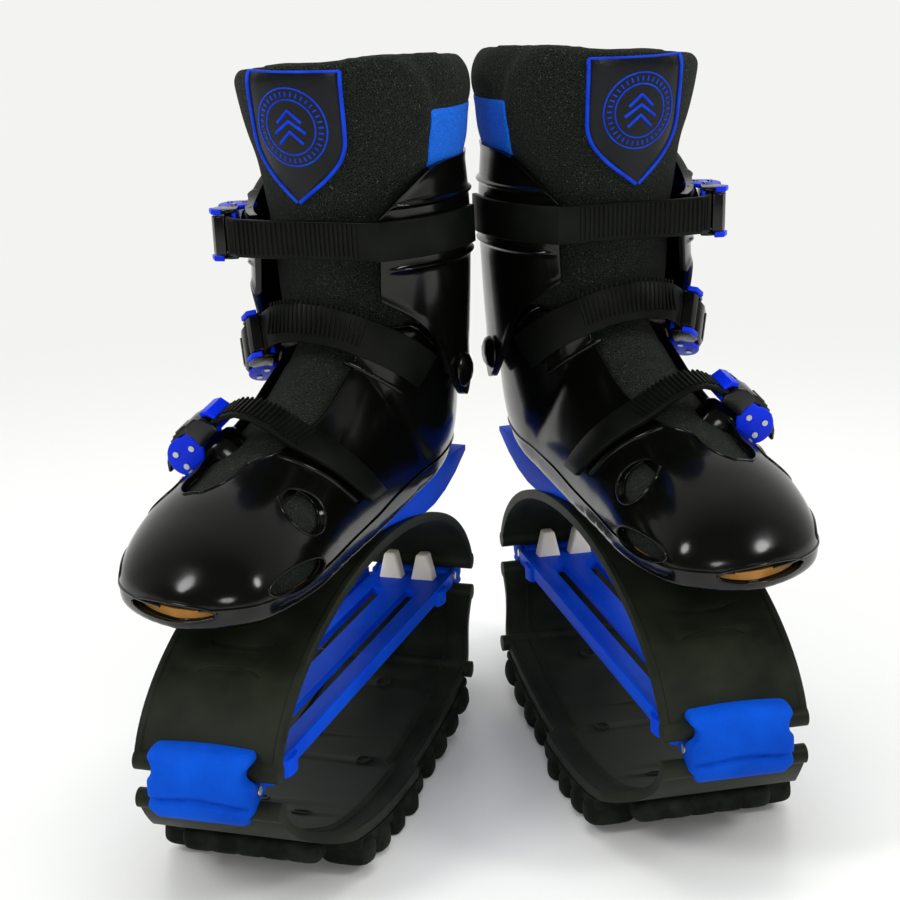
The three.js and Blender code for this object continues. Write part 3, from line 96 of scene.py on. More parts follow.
@dataclass(frozen=True)
class Stance:
    """Place and turn of one shoe on the floor, found from its two hinge pins."""

    side: Side
    boot_toe_out: float = 6.2
    boot_turn_y: float = 60.0
    boot_shift: float = 3.0
    sole: float = 150.4

    @property
    def shoe(self) -> Matrix:
        """Matrix from the shoe's own millimetres to the scene."""
        front, rear = (middle_of(self.side.node(pin)) for pin in ("front_pin", "rear_pin"))
        along = (rear - front).normalized()
        across = Vector((along.y, -along.x, 0))
        if self.side is Side.LEFT:
            across.negate()
        middle = (front + rear) / 2
        turn = Matrix((across, along, UP)).transposed().to_4x4()
        return Matrix.Translation((middle.x, middle.y, 0)) @ turn @ Matrix.Scale(MM, 4)

    @property
    def boot(self) -> Matrix:
        """Matrix from the boot's own millimetres, above its sole, to the scene."""
        turn = Matrix.Rotation(-radians(self.boot_toe_out), 4, "Z")
        return (self.shoe @ Matrix.Translation((self.boot_shift, self.boot_turn_y, self.sole)) @ turn
                @ Matrix.Translation((0, -self.boot_turn_y, 0)))


def colour(code: str) -> tuple[float, float, float, float]:
    """Turns an sRGB hex code into linear red, green, blue and alpha."""
    parts = [int(code[i:i + 2], 16) / 255 for i in (1, 3, 5)]
    linear = [p / 12.92 if p <= 0.04045 else ((p + 0.055) / 1.055) ** 2.4 for p in parts]
    return (linear[0], linear[1], linear[2], 1.0)


def feed(tree: NodeTree, made: Node, links: dict) -> None:
    """Gives a node's inputs their values, or joins them to sockets."""
    for name, value in links.items():
        socket = made.inputs[name]
        if isinstance(value, NodeSocket):
            tree.links.new(value, socket)
        else:
            socket.default_value = value


def node(tree: NodeTree, kind: str, links: dict | None = None, **settings: object) -> Node:
    """Adds a node with its settings and links."""
    made = tree.nodes.new(kind)
    for name, value in settings.items():
        setattr(made, name, value)
    feed(tree, made, links or {})
    return made


# Finishes: pattern sizes and depths in millimetres


def lumps(spot: NodeSocket, spacing: float, detail: float) -> dict[str, object]:
    """Inputs of a noise whose lumps are about a spacing in millimetres apart."""
    return {"Vector": spot, "Scale": 1 / spacing, "Detail": detail, "Roughness": 0.55}


@dataclass(frozen=True)
class Finish:
    """What every finish shares: a name, a slot and a Principled surface."""

    name: str
    slot: str
    base: str
    roughness: float = 0.5
    mirror: float = field(default=0.1, kw_only=True)

    def material(self) -> Material:
        """Makes the material once and hands it out again after that.

        Returns:
            The material that bears the finish's name.
        """
        found = bpy.data.materials.get(self.name)
        if found is None:
            found = bpy.data.materials.new(self.name)
            found.use_nodes = True
            found.diffuse_color = colour(self.base)
            tree = found.node_tree
            plain = {"Base Color": colour(self.base), "Roughness": self.roughness,
                     "Specular IOR Level": self.mirror}
            feed(tree, tree.nodes["Principled BSDF"], plain | self.surface(tree))
        return found

    def surface(self, tree: NodeTree) -> dict[str, object]:
        """Shader inputs that a finish adds to the plain ones."""
        return {}

    @staticmethod
    def place(tree: NodeTree) -> NodeSocket:
        """Object coordinates in millimetres."""
        spot = node(tree, "ShaderNodeTexCoord").outputs["Object"]
        return node(tree, "ShaderNodeVectorMath", {0: spot, 3: 1 / MM}, operation="SCALE").outputs[0]

    @staticmethod
    def toned(tree: NodeTree, value: NodeSocket, reach: Pair, first: object,
              last: object) -> NodeSocket:
        """Colour that goes from one to another as a value crosses a reach."""
        share = node(tree, "ShaderNodeMapRange", {"Value": value, "From Min": reach[0], "From Max": reach[1]})
        mixed = node(tree, "ShaderNodeMix", {0: share.outputs[0], 6: first, 7: last}, data_type="RGBA")
        return mixed.outputs[2]


@dataclass(frozen=True)
class MouldedPlastic(Finish):
    """Injection-moulded plastic: light breaks up over its spark-eroded grain, and dust greys it.

    The real grain is about 0.1 mm. It is drawn several times as coarse, the least that shows.
    """

    pale: str = "#2e322b"
    grain: float = 0.7
    grain_depth: float = 0.05
    patch: float = 26.0

    def surface(self, tree: NodeTree) -> dict[str, object]:
        """Cloudy dust in the colour and the roughness, and the grain in the relief."""
        spot = self.place(tree)
        cloud = node(tree, "ShaderNodeTexNoise", lumps(spot, self.patch, 6.0)).outputs[0]
        tone = self.toned(tree, cloud, (0.35, 0.75), colour(self.base), colour(self.pale))
        shine = node(tree, "ShaderNodeMapRange",
                     {"Value": cloud, "To Min": self.roughness - 0.1, "To Max": self.roughness + 0.12})
        grain = node(tree, "ShaderNodeTexNoise", lumps(spot, self.grain, 3.0))
        bump = node(tree, "ShaderNodeBump", {"Height": grain.outputs[0], "Distance": self.grain_depth * MM})
        return {"Base Color": tone, "Roughness": shine.outputs[0], "Normal": bump.outputs[0]}


@dataclass(frozen=True)
class GlossShell(Finish):
    """Plastic from a polished mould: it mirrors the lamps over a slight moulding ripple, under faint haze."""

    mirror: float = field(default=0.28, kw_only=True)
    index: float = 1.5
    coat: float = 0.1
    coat_roughness: float = 0.05
    haze: float = 60.0
    ripple: float = 34.0
    ripple_depth: float = 0.5
    skin: float = 0.9
    skin_depth: float = 0.008

    def surface(self, tree: NodeTree) -> dict[str, object]:
        """Ripple and skin in the relief, and faint handling haze in the roughness.

        Args:
            tree: The material's tree.

        Returns:
            Values and sockets by shader input.
        """
        spot = self.place(tree)
        haze = node(tree, "ShaderNodeTexNoise", lumps(spot, self.haze, 5.0))
        shine = node(tree, "ShaderNodeMapRange",
                     {"Value": haze.outputs[0], "To Min": self.roughness, "To Max": self.roughness + 0.14})
        wave = node(tree, "ShaderNodeTexNoise", lumps(spot, self.ripple, 1.0))
        skin = node(tree, "ShaderNodeTexNoise", lumps(spot, self.skin, 2.0))
        broad = node(tree, "ShaderNodeBump", {"Height": wave.outputs[0], "Distance": self.ripple_depth * MM})
        fine = node(tree, "ShaderNodeBump", {"Height": skin.outputs[0], "Distance": self.skin_depth * MM,
                                             "Normal": broad.outputs[0]})
        return {"IOR": self.index, "Coat Weight": self.coat, "Coat Roughness": self.coat_roughness,
                "Roughness": shine.outputs[0], "Normal": fine.outputs[0]}


@dataclass(frozen=True)
class Rubber(Finish):
    """Moulded rubber: matte, a little dusty in patches, with a fine skin."""

    pale: str = "#2a2d29"
    mirror: float = field(default=0.12, kw_only=True)
    dust: float = 12.0
    skin: float = 0.8
    skin_depth: float = 0.06

    def surface(self, tree: NodeTree) -> dict[str, object]:
        """Dusty patches in the colour, and a fine skin in the relief."""
        spot = self.place(tree)
        dust = node(tree, "ShaderNodeTexNoise", lumps(spot, self.dust, 6.0))
        tone = self.toned(tree, dust.outputs[0], (0.4, 0.8), colour(self.base), colour(self.pale))
        skin = node(tree, "ShaderNodeTexNoise", lumps(spot, self.skin, 3.0))
        bump = node(tree, "ShaderNodeBump", {"Height": skin.outputs[0], "Distance": self.skin_depth * MM})
        return {"Base Color": tone, "Normal": bump.outputs[0]}


@dataclass(frozen=True)
class SpacerMesh(Finish):
    """Warp-knitted mesh: small open cells, with pale specks of painted glint where the yarns would catch the
    light.

    The real yarn is about 0.2 mm. Its painted glint specks are drawn at about 0.75 mm, the least that shows.
    """

    pale: str = "#3a4038"
    cell: float = 1.5
    # Colour of the painted glints, where the yarns would catch the light
    painted_glint_colour: str = "#5a6056"
    mirror: float = field(default=0.05, kw_only=True)
    cell_depth: float = 0.5
    fuzz: float = 1.1
    glint: float = 0.75
    quilt: float = 14.0
    quilt_depth: float = 0.8

    def surface(self, tree: NodeTree) -> dict[str, object]:
        """Cells with fuzzy yarns between them, pale specks of painted glint, and soft hollows under the
        cells.

        Args:
            tree: The material's tree.

        Returns:
            Values and sockets by shader input.
        """
        spot = self.place(tree)
        cells = node(tree, "ShaderNodeTexVoronoi",
                     {"Vector": spot, "Scale": 1 / self.cell, "Randomness": 0.85},
                     feature="DISTANCE_TO_EDGE")
        yarn = node(tree, "ShaderNodeMapRange", {"Value": cells.outputs["Distance"], "From Min": 0.05,
                                                 "From Max": 0.3, "To Min": 1.0, "To Max": 0.0})
        fuzz = node(tree, "ShaderNodeTexNoise", lumps(spot, self.fuzz, 4.0))
        knit = node(tree, "ShaderNodeMath", {0: yarn.outputs[0], 1: fuzz.outputs[0]}, operation="MULTIPLY")
        tone = self.toned(tree, knit.outputs[0], (0.05, 0.75), colour(self.base), colour(self.pale))
        # Painted glints: pale specks mixed into the colour where the yarns would catch the light
        glint = node(tree, "ShaderNodeTexNoise", lumps(spot, self.glint, 1.0))
        painted_glint_tone = self.toned(tree, glint.outputs[0], (0.65, 0.8), tone, colour(self.painted_glint_colour))
        quilt = node(tree, "ShaderNodeTexNoise", lumps(spot, self.quilt, 2.0))
        broad = node(tree, "ShaderNodeBump", {"Height": quilt.outputs[0], "Distance": self.quilt_depth * MM})
        fine = node(tree, "ShaderNodeBump", {"Height": knit.outputs[0], "Distance": self.cell_depth * MM,
                                             "Normal": broad.outputs[0]})
        return {"Base Color": painted_glint_tone, "Sheen Weight": 0.04, "Sheen Roughness": 0.6,
                "Normal": fine.outputs[0]}


@dataclass(frozen=True)
class Leather(Finish):
    """Embossed synthetic leather: a satin skin with a small pebble grain."""

    grain: float = 1.3
    grain_depth: float = 0.06
    haze: float = 9.0
    mirror: float = field(default=0.18, kw_only=True)

    def surface(self, tree: NodeTree) -> dict[str, object]:
        """Pebbles in the relief and clouds in the roughness.

        Args:
            tree: The material's tree.

        Returns:
            Values and sockets by shader input.
        """
        spot = self.place(tree)
        haze = node(tree, "ShaderNodeTexNoise", lumps(spot, self.haze, 3.0))
        shine = node(tree, "ShaderNodeMapRange",
                     {"Value": haze.outputs[0], "To Min": self.roughness - 0.1,
                      "To Max": self.roughness + 0.15})
        pebble = node(tree, "ShaderNodeTexVoronoi", {"Vector": spot, "Scale": 1 / self.grain})
        bump = node(tree, "ShaderNodeBump",
                    {"Height": pebble.outputs["Distance"], "Distance": self.grain_depth * MM})
        return {"Roughness": shine.outputs[0], "Normal": bump.outputs[0]}


@dataclass(frozen=True)
class Steel(Finish):
    """Zinc-plated steel: bright, with a soft turned haze."""

    haze: float = 3.0
    mirror: float = field(default=0.5, kw_only=True)

    def surface(self, tree: NodeTree) -> dict[str, object]:
        """Metal with a faint haze."""
        haze = node(tree, "ShaderNodeTexNoise", lumps(self.place(tree), self.haze, 3.0))
        shine = node(tree, "ShaderNodeMapRange",
                     {"Value": haze.outputs[0], "To Min": self.roughness - 0.06,
                      "To Max": self.roughness + 0.12})
        return {"Metallic": 1.0, "Roughness": shine.outputs[0]}


# Filled nylon from a grained mould: an olive black with a satin face, greyed by dust
ARCH = MouldedPlastic("arch_moulded_nylon", "arch_plastic", "#171b13", 0.5, "#262b20")
# Vulcanised rubber: matte and darker than the arches, dusty on its lugs
TREAD = Rubber("tread_vulcanised_rubber", "tread_rubber", "#0e110c", 0.75, "#242920")
# Soft polyurethane from a coarse mould: an even, bright blue with a pillowy satin face
CAP = MouldedPlastic("cap_moulded_tpu_blue", "blue_clip", "#033eaa", 0.62, "#0852cc", 1.5, 0.45, 40.0,
                     mirror=0.04)
# The same polyurethane from a smooth mould: flat, clear blue with a soft shine
BAND = MouldedPlastic("band_moulded_tpu_blue", "blue_band", "#0640d0", 0.42, "#0a54e0", 0.8, 0.04, 50.0,
                      mirror=0.03)
# Moulded ABS: a deeper blue with small sharp highlights
CLIP = MouldedPlastic("buckle_moulded_abs_blue", "blue_clip", "#0626c8", 0.3, "#0a30dc", 0.8, 0.03, 30.0)
# Cast rubber: cream and chalky
CREAM = Rubber("lug_cast_rubber_cream", "cream_rubber", "#f6efd8", 0.55, "#fbf6e6")
# Polyurethane from a polished mould: deep black with long clear highlights
SHELL = GlossShell("boot_polished_polyurethane", "shell_plastic", "#050604", 0.1)
# Knitted polyester lining: near black and soft, with fine pale specks of painted glint
MESH = SpacerMesh("lining_spacer_mesh", "liner_fabric", "#060806", 0.9, "#1f251d")
# Moulded nylon from a fine mould: soft black, so the ribs show as thin lines of light
STRAP = MouldedPlastic("strap_moulded_nylon", "strap_plastic", "#080a07", 0.42, "#10130e", 0.6, 0.03, 18.0)
# Nylon from a polished mould: black with a duller shine than the shell's
LEVER = GlossShell("lever_polished_nylon", "lever_plastic", "#040504", 0.18)
# Moulded satin cord: blue lines with a soft edge of light
PIPING = MouldedPlastic("piping_satin_cord", "badge_leather", "#0a2fae", 0.5, "#1244cc", 1.0, 0.03, 12.0)
# Dyed stretch mesh: a bright, even blue with lighter specks of painted glint
PANEL = SpacerMesh("panel_stretch_mesh_blue", "liner_fabric", "#0a56c8", 0.8, "#1272ea", 1.5, "#3a92f8")
# Leather cloth from an embossing roller: blue-black with a satin pebble grain
BADGE = Leather("badge_embossed_leather", "badge_leather", "#0a0e12", 0.3)
# Pressed fibre board: tan, dry and slightly mottled
BOARD = Rubber("insole_tan_board", "insole_board", "#b07c3c", 0.8, "#c08c4c")
# Plated after turning: a bright grey that blurs what it mirrors
STEEL = Steel("pin_zinc_plated_steel", "steel", "#b4b7ba", 0.3)


def body_of(name: str) -> str:
    """Finds the body that a CAD node belongs to."""
    for body, nodes in frame["record"]["behaviour"]["bodies"].items():
        if name in nodes:
            return body
    raise KeyError(name)


# Mesh tools


def shown(name: str, data: ID | None) -> Object:
    """Makes an object with the given data and puts it into the scene."""
    obj = bpy.data.objects.new(name, data)
    bpy.context.scene.collection.objects.link(obj)
    return obj


def turns(count: int, start: float = 0.0) -> list[float]:
    """Even angles round a circle, the first one at a share of a step."""
    return [2 * pi * (i + start) / count for i in range(count)]


class Kit:
    """Small tools that make, join, cut, soften and hand over meshes."""

    @staticmethod
    def add(name: str, points: Sequence[Sequence[float]], faces: Sequence[Sequence[int]]) -> Object:
        """Makes an object from points and faces."""
        mesh = bpy.data.meshes.new(name)
        mesh.from_pydata([tuple(p) for p in points], [], [tuple(f) for f in faces])
        mesh.update()
        return shown(name, mesh)

    @staticmethod
    def outward(obj: Object) -> Object:
        """Joins doubles and points every face outwards."""
        work = bmesh.new()
        work.from_mesh(obj.data)
        bmesh.ops.remove_doubles(work, verts=work.verts, dist=1e-4)
        bmesh.ops.recalc_face_normals(work, faces=work.faces)
        work.to_mesh(obj.data)
        work.free()
        return obj

    @classmethod
    def loft(cls, name: str, rings: Sequence[Sequence[Vector]]) -> Object:
        """Closed body through rings of equal length, with its two ends capped.

        Args:
            name: Name of the body.
            rings: The rings, in order.

        Returns:
            The body.
        """
        count = len(rings[0])
        points = [p for ring in rings for p in ring]
        faces = []
        for i in range(len(rings) - 1):
            for j in range(count):
                k = (j + 1) % count
                a, b = i * count, (i + 1) * count
                faces.append((a + j, a + k, b + k, b + j))
        faces.append(tuple(range(count)))
        faces.append(tuple(range((len(rings) - 1) * count, len(rings) * count)))
        return cls.outward(cls.add(name, points, faces))

    @staticmethod
    def baked(obj: Object) -> Object:
        """Applies the object's modifiers to its mesh."""
        graph = bpy.context.evaluated_depsgraph_get()
        mesh = bpy.data.meshes.new_from_object(obj.evaluated_get(graph))
        obj.modifiers.clear()
        old = obj.data
        obj.data = mesh
        bpy.data.meshes.remove(old)
        return obj

    @classmethod
    def changed(cls, obj: Object, kind: str, **settings: object) -> Object:
        """Runs one modifier on a body and keeps the outcome as its mesh."""
        step = obj.modifiers.new("step", kind)
        for name, value in settings.items():
            setattr(step, name, value)
        return cls.baked(obj)

    @classmethod
    def bevelled(cls, obj: Object, width: float, angle: float, segments: int = 2) -> Object:
        """Rounds the edges that are sharper than an angle in degrees."""
        return cls.changed(obj, "BEVEL", width=width, segments=segments, limit_method="ANGLE",
                           angle_limit=radians(angle))

    @classmethod
    def combined(cls, obj: Object, others: Iterable[Object], operation: str) -> Object:
        """Joins, cuts or overlaps an object with others, which are used up.

        Args:
            obj: The object that stays.
            others: The tools.
            operation: UNION, DIFFERENCE or INTERSECT.

        Returns:
            The changed object.
        """
        tools = list(others)
        for other in tools:
            step = obj.modifiers.new("step", "BOOLEAN")
            step.operation = operation
            step.object = other
            step.solver = "EXACT"
        cls.baked(obj)
        for other in tools:
            cls.gone(other)
        return obj

    @staticmethod
    def moved(obj: Object, matrix: Matrix) -> Object:
        """Moves a mesh by a matrix, and keeps its faces outwards when that mirrors it."""
        obj.data.transform(matrix)
        if matrix.determinant() < 0:
            obj.data.flip_normals()
        return obj

    @classmethod
    def placed(cls, obj: Object, name: str, matrix: Matrix) -> Object:
        """Copies an object's mesh into the scene under a name, with its place in its mesh."""
        return cls.moved(shown(name, obj.data.copy()), matrix)

    @staticmethod
    def search(obj: Object) -> BVHTree:
        """Search tree of a body's surface."""
        mesh = obj.data
        return BVHTree.FromPolygons([v.co for v in mesh.vertices], [p.vertices for p in mesh.polygons])

    @staticmethod
    def gone(obj: Object) -> None:
        """Removes a working object together with its mesh."""
        bpy.data.meshes.remove(obj.data)

    @staticmethod
    def shaded(obj: Object, angle: float = 35.0) -> None:
        """Smooths the shading except at edges sharper than the angle in degrees."""
        obj.data.shade_smooth()
        obj.data.set_sharp_from_angle(angle=radians(angle))

    @classmethod
    def rod(cls, name: str, start: Vector, end: Vector, radius: float, sides: int = 24) -> Object:
        """Round rod between two points."""
        along = (end - start).normalized()
        side = along.orthogonal().normalized()
        other = along.cross(side)
        rings = [[p + (side * cos(t) + other * sin(t)) * radius for t in turns(sides)]
                 for p in (start, end)]
        return cls.loft(name, rings)

    @classmethod
    def tube(cls, name: str, path: Sequence[Vector], radius: float, sides: int = 12) -> Object:
        """Round tube along a path.

        Args:
            name: Name of the tube.
            path: Points along its middle.
            radius: Its radius.
            sides: Sides round it.

        Returns:
            The tube.
        """
        rings = []
        side = None
        for i, point in enumerate(path):
            along = (path[min(i + 1, len(path) - 1)] - path[max(i - 1, 0)]).normalized()
            side = along.orthogonal() if side is None else side - along * side.dot(along)
            side.normalize()
            other = along.cross(side)
            rings.append([point + (side * cos(t) + other * sin(t)) * radius for t in turns(sides)])
        return cls.loft(name, rings)

    @classmethod
    def sheet(cls, name: str, outer: Sequence[Sequence[Vector]],
              inner: Sequence[Sequence[Vector]]) -> Object:
        """Closed thick sheet between two grids of points.

        Args:
            name: Name of the sheet.
            outer: Grid of its outer face.
            inner: Grid of its inner face, of the same size.

        Returns:
            The sheet.
        """
        rows, columns = len(outer), len(outer[0])
        points = [p for row in outer for p in row] + [p for row in inner for p in row]
        shift = rows * columns
        faces = []
        for i in range(rows - 1):
            for j in range(columns - 1):
                a, d = i * columns + j, (i + 1) * columns + j
                b, c = a + 1, d + 1
                faces.append((a, b, c, d))
                faces.append((shift + d, shift + c, shift + b, shift + a))
        rim = ([j for j in range(columns)] + [i * columns + columns - 1 for i in range(1, rows)]
               + [(rows - 1) * columns + j for j in range(columns - 2, -1, -1)]
               + [i * columns for i in range(rows - 2, 0, -1)])
        for a, b in zip(rim, rim[1:] + rim[:1]):
            faces.append((b, a, shift + a, shift + b))
        return cls.outward(cls.add(name, points, faces))

    @classmethod
    def merged(cls, obj: Object, others: Iterable[Object]) -> Object:
        """Puts other objects' meshes, with their materials, into one object; the others are used up.

        Args:
            obj: The object.
            others: The others.

        Returns:
            The same object.
        """
        work = bmesh.new()
        kept = obj.data.materials
        for part in [obj, *others]:
            slots = []
            for material in part.data.materials:
                if material not in list(kept):
                    kept.append(material)
                slots.append(list(kept).index(material))
            start = len(work.faces)
            work.from_mesh(part.data)
            work.faces.ensure_lookup_table()
            for face in work.faces[start:]:
                face.material_index = slots[face.material_index] if slots else 0
            if part is not obj:
                cls.gone(part)
        work.to_mesh(obj.data)
        work.free()
        return obj

    @classmethod
    def prism(cls, name: str, outline: Pairs, low: float, high: float,
              put: Placer) -> Object:
        """Body with an outline at two levels, each point put in place by a function."""
        return cls.loft(name, [[put(u, v, w) for u, v in outline] for w in (low, high)])


def set_finish(obj: Object, finish: Finish) -> None:
    """Gives an object one finish."""
    obj.data.materials.clear()
    obj.data.materials.append(finish.material())


def node_copy(name: str, near: float = 0.02, flat: float = 1.0) -> Object:
    """Copy of a CAD node with its triangles joined, and its flat faces whole.

    Args:
        name: The CAD node.
        near: Points closer than this many millimetres are joined.
        flat: Faces that meet at less than this many degrees are joined.

    Returns:
        The copy.
    """
    mesh = frame["nodes"][name].data.copy()
    obj = shown(f"{name}_copy", mesh)
    work = bmesh.new()
    work.from_mesh(mesh)
    bmesh.ops.remove_doubles(work, verts=work.verts, dist=near * MM)
    bmesh.ops.dissolve_limit(work, angle_limit=radians(flat), verts=work.verts, edges=work.edges)
    work.to_mesh(mesh)
    work.free()
    return obj


def stand_for(obj: Object, name: str, finish: Finish | None) -> Object:
    """Dresses an object, lets it stand for a CAD node and ride on the node's body."""
    obj.name = f"{name}_dressed"
    obj.data.name = obj.name
    if finish is not None:
        set_finish(obj, finish)
    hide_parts(name)
    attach(obj, body_of(name))
    return obj


def edged_copy(name: str, finish: Finish, bevel: float = 0.6, angle: float = 32.0,
               segments: int = 2) -> Object:
    """Copies a CAD node and rounds its edges; the copy stands for the node."""
    obj = Kit.bevelled(node_copy(name), bevel * MM, angle, segments)
    Kit.shaded(obj)
    return stand_for(obj, name, finish)


# Geometry node trees


ROD_SIDES = 10
LIP_STEP_SHARE = 1.2


class GeoTree:
    """A geometry node tree with named inputs, run once on an object."""

    def __init__(self, name: str, inputs: dict[str, tuple[str, object]]) -> None:
        """Makes the tree with its inputs.

        Args:
            name: Name of the tree.
            inputs: Socket type and value by input name.
        """
        self.tree = bpy.data.node_groups.new(name, "GeometryNodeTree")
        face = self.tree.interface
        face.new_socket("Geometry", in_out="OUTPUT", socket_type="NodeSocketGeometry")
        face.new_socket("Geometry", in_out="INPUT", socket_type="NodeSocketGeometry")
        self.values = {}
        for label, (kind, value) in inputs.items():
            socket = face.new_socket(label, in_out="INPUT", socket_type=kind)
            self.values[socket.identifier] = value
        self.inside = node(self.tree, "NodeGroupInput")
        self.result = node(self.tree, "NodeGroupOutput")

    def node(self, kind: str, links: dict | None = None, **settings: object) -> Node:
        """Adds a node to the tree."""
        return node(self.tree, kind, links, **settings)

    def socket(self, label: str) -> NodeSocket:
        """One of the tree's inputs."""
        return self.inside.outputs[label]

    def finish(self, geometry: NodeSocket) -> None:
        """Ends the tree with real meshes and their material."""
        real = self.node("GeometryNodeRealizeInstances", {"Geometry": geometry})
        dressed = self.node("GeometryNodeSetMaterial",
                            {"Geometry": real.outputs[0], "Material": self.socket("Material")})
        self.tree.links.new(dressed.outputs[0], self.result.inputs[0])

    def run(self, obj: Object) -> Object:
        """Runs the tree on an object and keeps the outcome as its mesh."""
        step = obj.modifiers.new("tree", "NODES")
        step.node_group = self.tree
        for identifier, value in self.values.items():
            step[identifier] = value
        Kit.baked(obj)
        bpy.data.node_groups.remove(self.tree)
        return obj


def lips(obj: Object, radius: float, angle: float, finish: Finish) -> Object:
    """Runs a rounded lip along every edge of a body that is sharper than an angle.

    Args:
        obj: The body.
        radius: Radius of the lip, in the body's units.
        angle: The angle in degrees.
        finish: Finish of the body and its lips.

    Returns:
        The body with its lips.
    """
    tree = GeoTree("lips", {"Radius": ("NodeSocketFloat", radius),
                            "Angle": ("NodeSocketFloat", radians(angle)),
                            "Step": ("NodeSocketFloat", radius * LIP_STEP_SHARE),
                            "Material": ("NodeSocketMaterial", finish.material())})
    bend = tree.node("GeometryNodeInputMeshEdgeAngle")
    sharp = tree.node("FunctionNodeCompare", {0: bend.outputs[0], 1: tree.socket("Angle")},
                      data_type="FLOAT", operation="GREATER_THAN")
    line = tree.node("GeometryNodeMeshToCurve",
                     {"Mesh": tree.socket("Geometry"), "Selection": sharp.outputs[0]})
    even = tree.node("GeometryNodeResampleCurve",
                     {"Curve": line.outputs[0], "Length": tree.socket("Step")}, mode="LENGTH")
    round_face = tree.node("GeometryNodeCurvePrimitiveCircle",
                           {"Resolution": ROD_SIDES, "Radius": tree.socket("Radius")})
    tube = tree.node("GeometryNodeCurveToMesh", {
        "Curve": even.outputs[0], "Profile Curve": round_face.outputs["Curve"], "Fill Caps": True})
    both = tree.node("GeometryNodeJoinGeometry", {"Geometry": tree.socket("Geometry")})
    tree.tree.links.new(tube.outputs[0], both.inputs[0])
    tree.finish(both.outputs[0])
    return tree.run(obj)


def rods_on(name: str, stations: Sequence[tuple[Vector, Vector]], length: float, radius: float,
            finish: Finish) -> Object:
    """Short round rods on points, each lying along its own direction.

    Args:
        name: Name of the new object.
        stations: Middle point and direction of each rod.
        length: Length of a rod.
        radius: Radius of a rod.
        finish: Finish of the rods.

    Returns:
        One object with every rod.
    """
    obj = Kit.add(name, [place for place, _ in stations], [])
    obj.data.materials.append(finish.material())
    way = obj.data.attributes.new("way", "FLOAT_VECTOR", "POINT")
    way.data.foreach_set("vector", [value for _, direction in stations for value in direction])
    tree = GeoTree(name, {"Radius": ("NodeSocketFloat", radius), "Length": ("NodeSocketFloat", length),
                          "Material": ("NodeSocketMaterial", finish.material())})
    rod = tree.node("GeometryNodeMeshCylinder",
                    {"Vertices": ROD_SIDES, "Radius": tree.socket("Radius"), "Depth": tree.socket("Length")})
    named = tree.node("GeometryNodeInputNamedAttribute", {"Name": "way"}, data_type="FLOAT_VECTOR")
    turn = tree.node("FunctionNodeAlignRotationToVector", {"Vector": named.outputs[0]}, axis="Z")
    placed = tree.node("GeometryNodeInstanceOnPoints", {
        "Points": tree.socket("Geometry"), "Instance": rod.outputs["Mesh"], "Rotation": turn.outputs[0]})
    tree.finish(placed.outputs[0])
    return tree.run(obj)


# Forms of the boot and the arches, in millimetres


def held(share: float) -> float:
    """Share kept between 0 and 1."""
    return min(max(share, 0), 1)


def curve(shares: Pairs, share: float) -> float:
    """Value at a share of a run, smoothly between the given ones.

    Args:
        shares: The given shares and values.
        share: The share asked for.

    Returns:
        The value.
    """
    last = len(shares) - 1
    at = min(max(share, shares[0][0]), shares[last][0])
    i = 0
    while i < last - 1 and at > shares[i + 1][0]:
        i += 1
    x0, y0 = shares[max(i - 1, 0)]
    x1, y1 = shares[i]
    x2, y2 = shares[i + 1]
    x3, y3 = shares[min(i + 2, last)]
    span = x2 - x1
    slope1 = (y2 - y1) / span if i == 0 else (y2 - y0) / (x2 - x0)
    slope2 = (y2 - y1) / span if i == last - 1 else (y3 - y1) / (x3 - x1)
    t = (at - x1) / span
    bend = y1 * (2 * t ** 3 - 3 * t ** 2 + 1) + y2 * (3 * t ** 2 - 2 * t ** 3)
    return bend + span * (slope1 * (t ** 3 - 2 * t ** 2 + t) + slope2 * (t ** 3 - t ** 2))


def spread(first: float, last: float, count: int) -> list[float]:
    """Even steps from the first value to the last."""
    return [first + (last - first) * i / (count - 1) for i in range(count)]


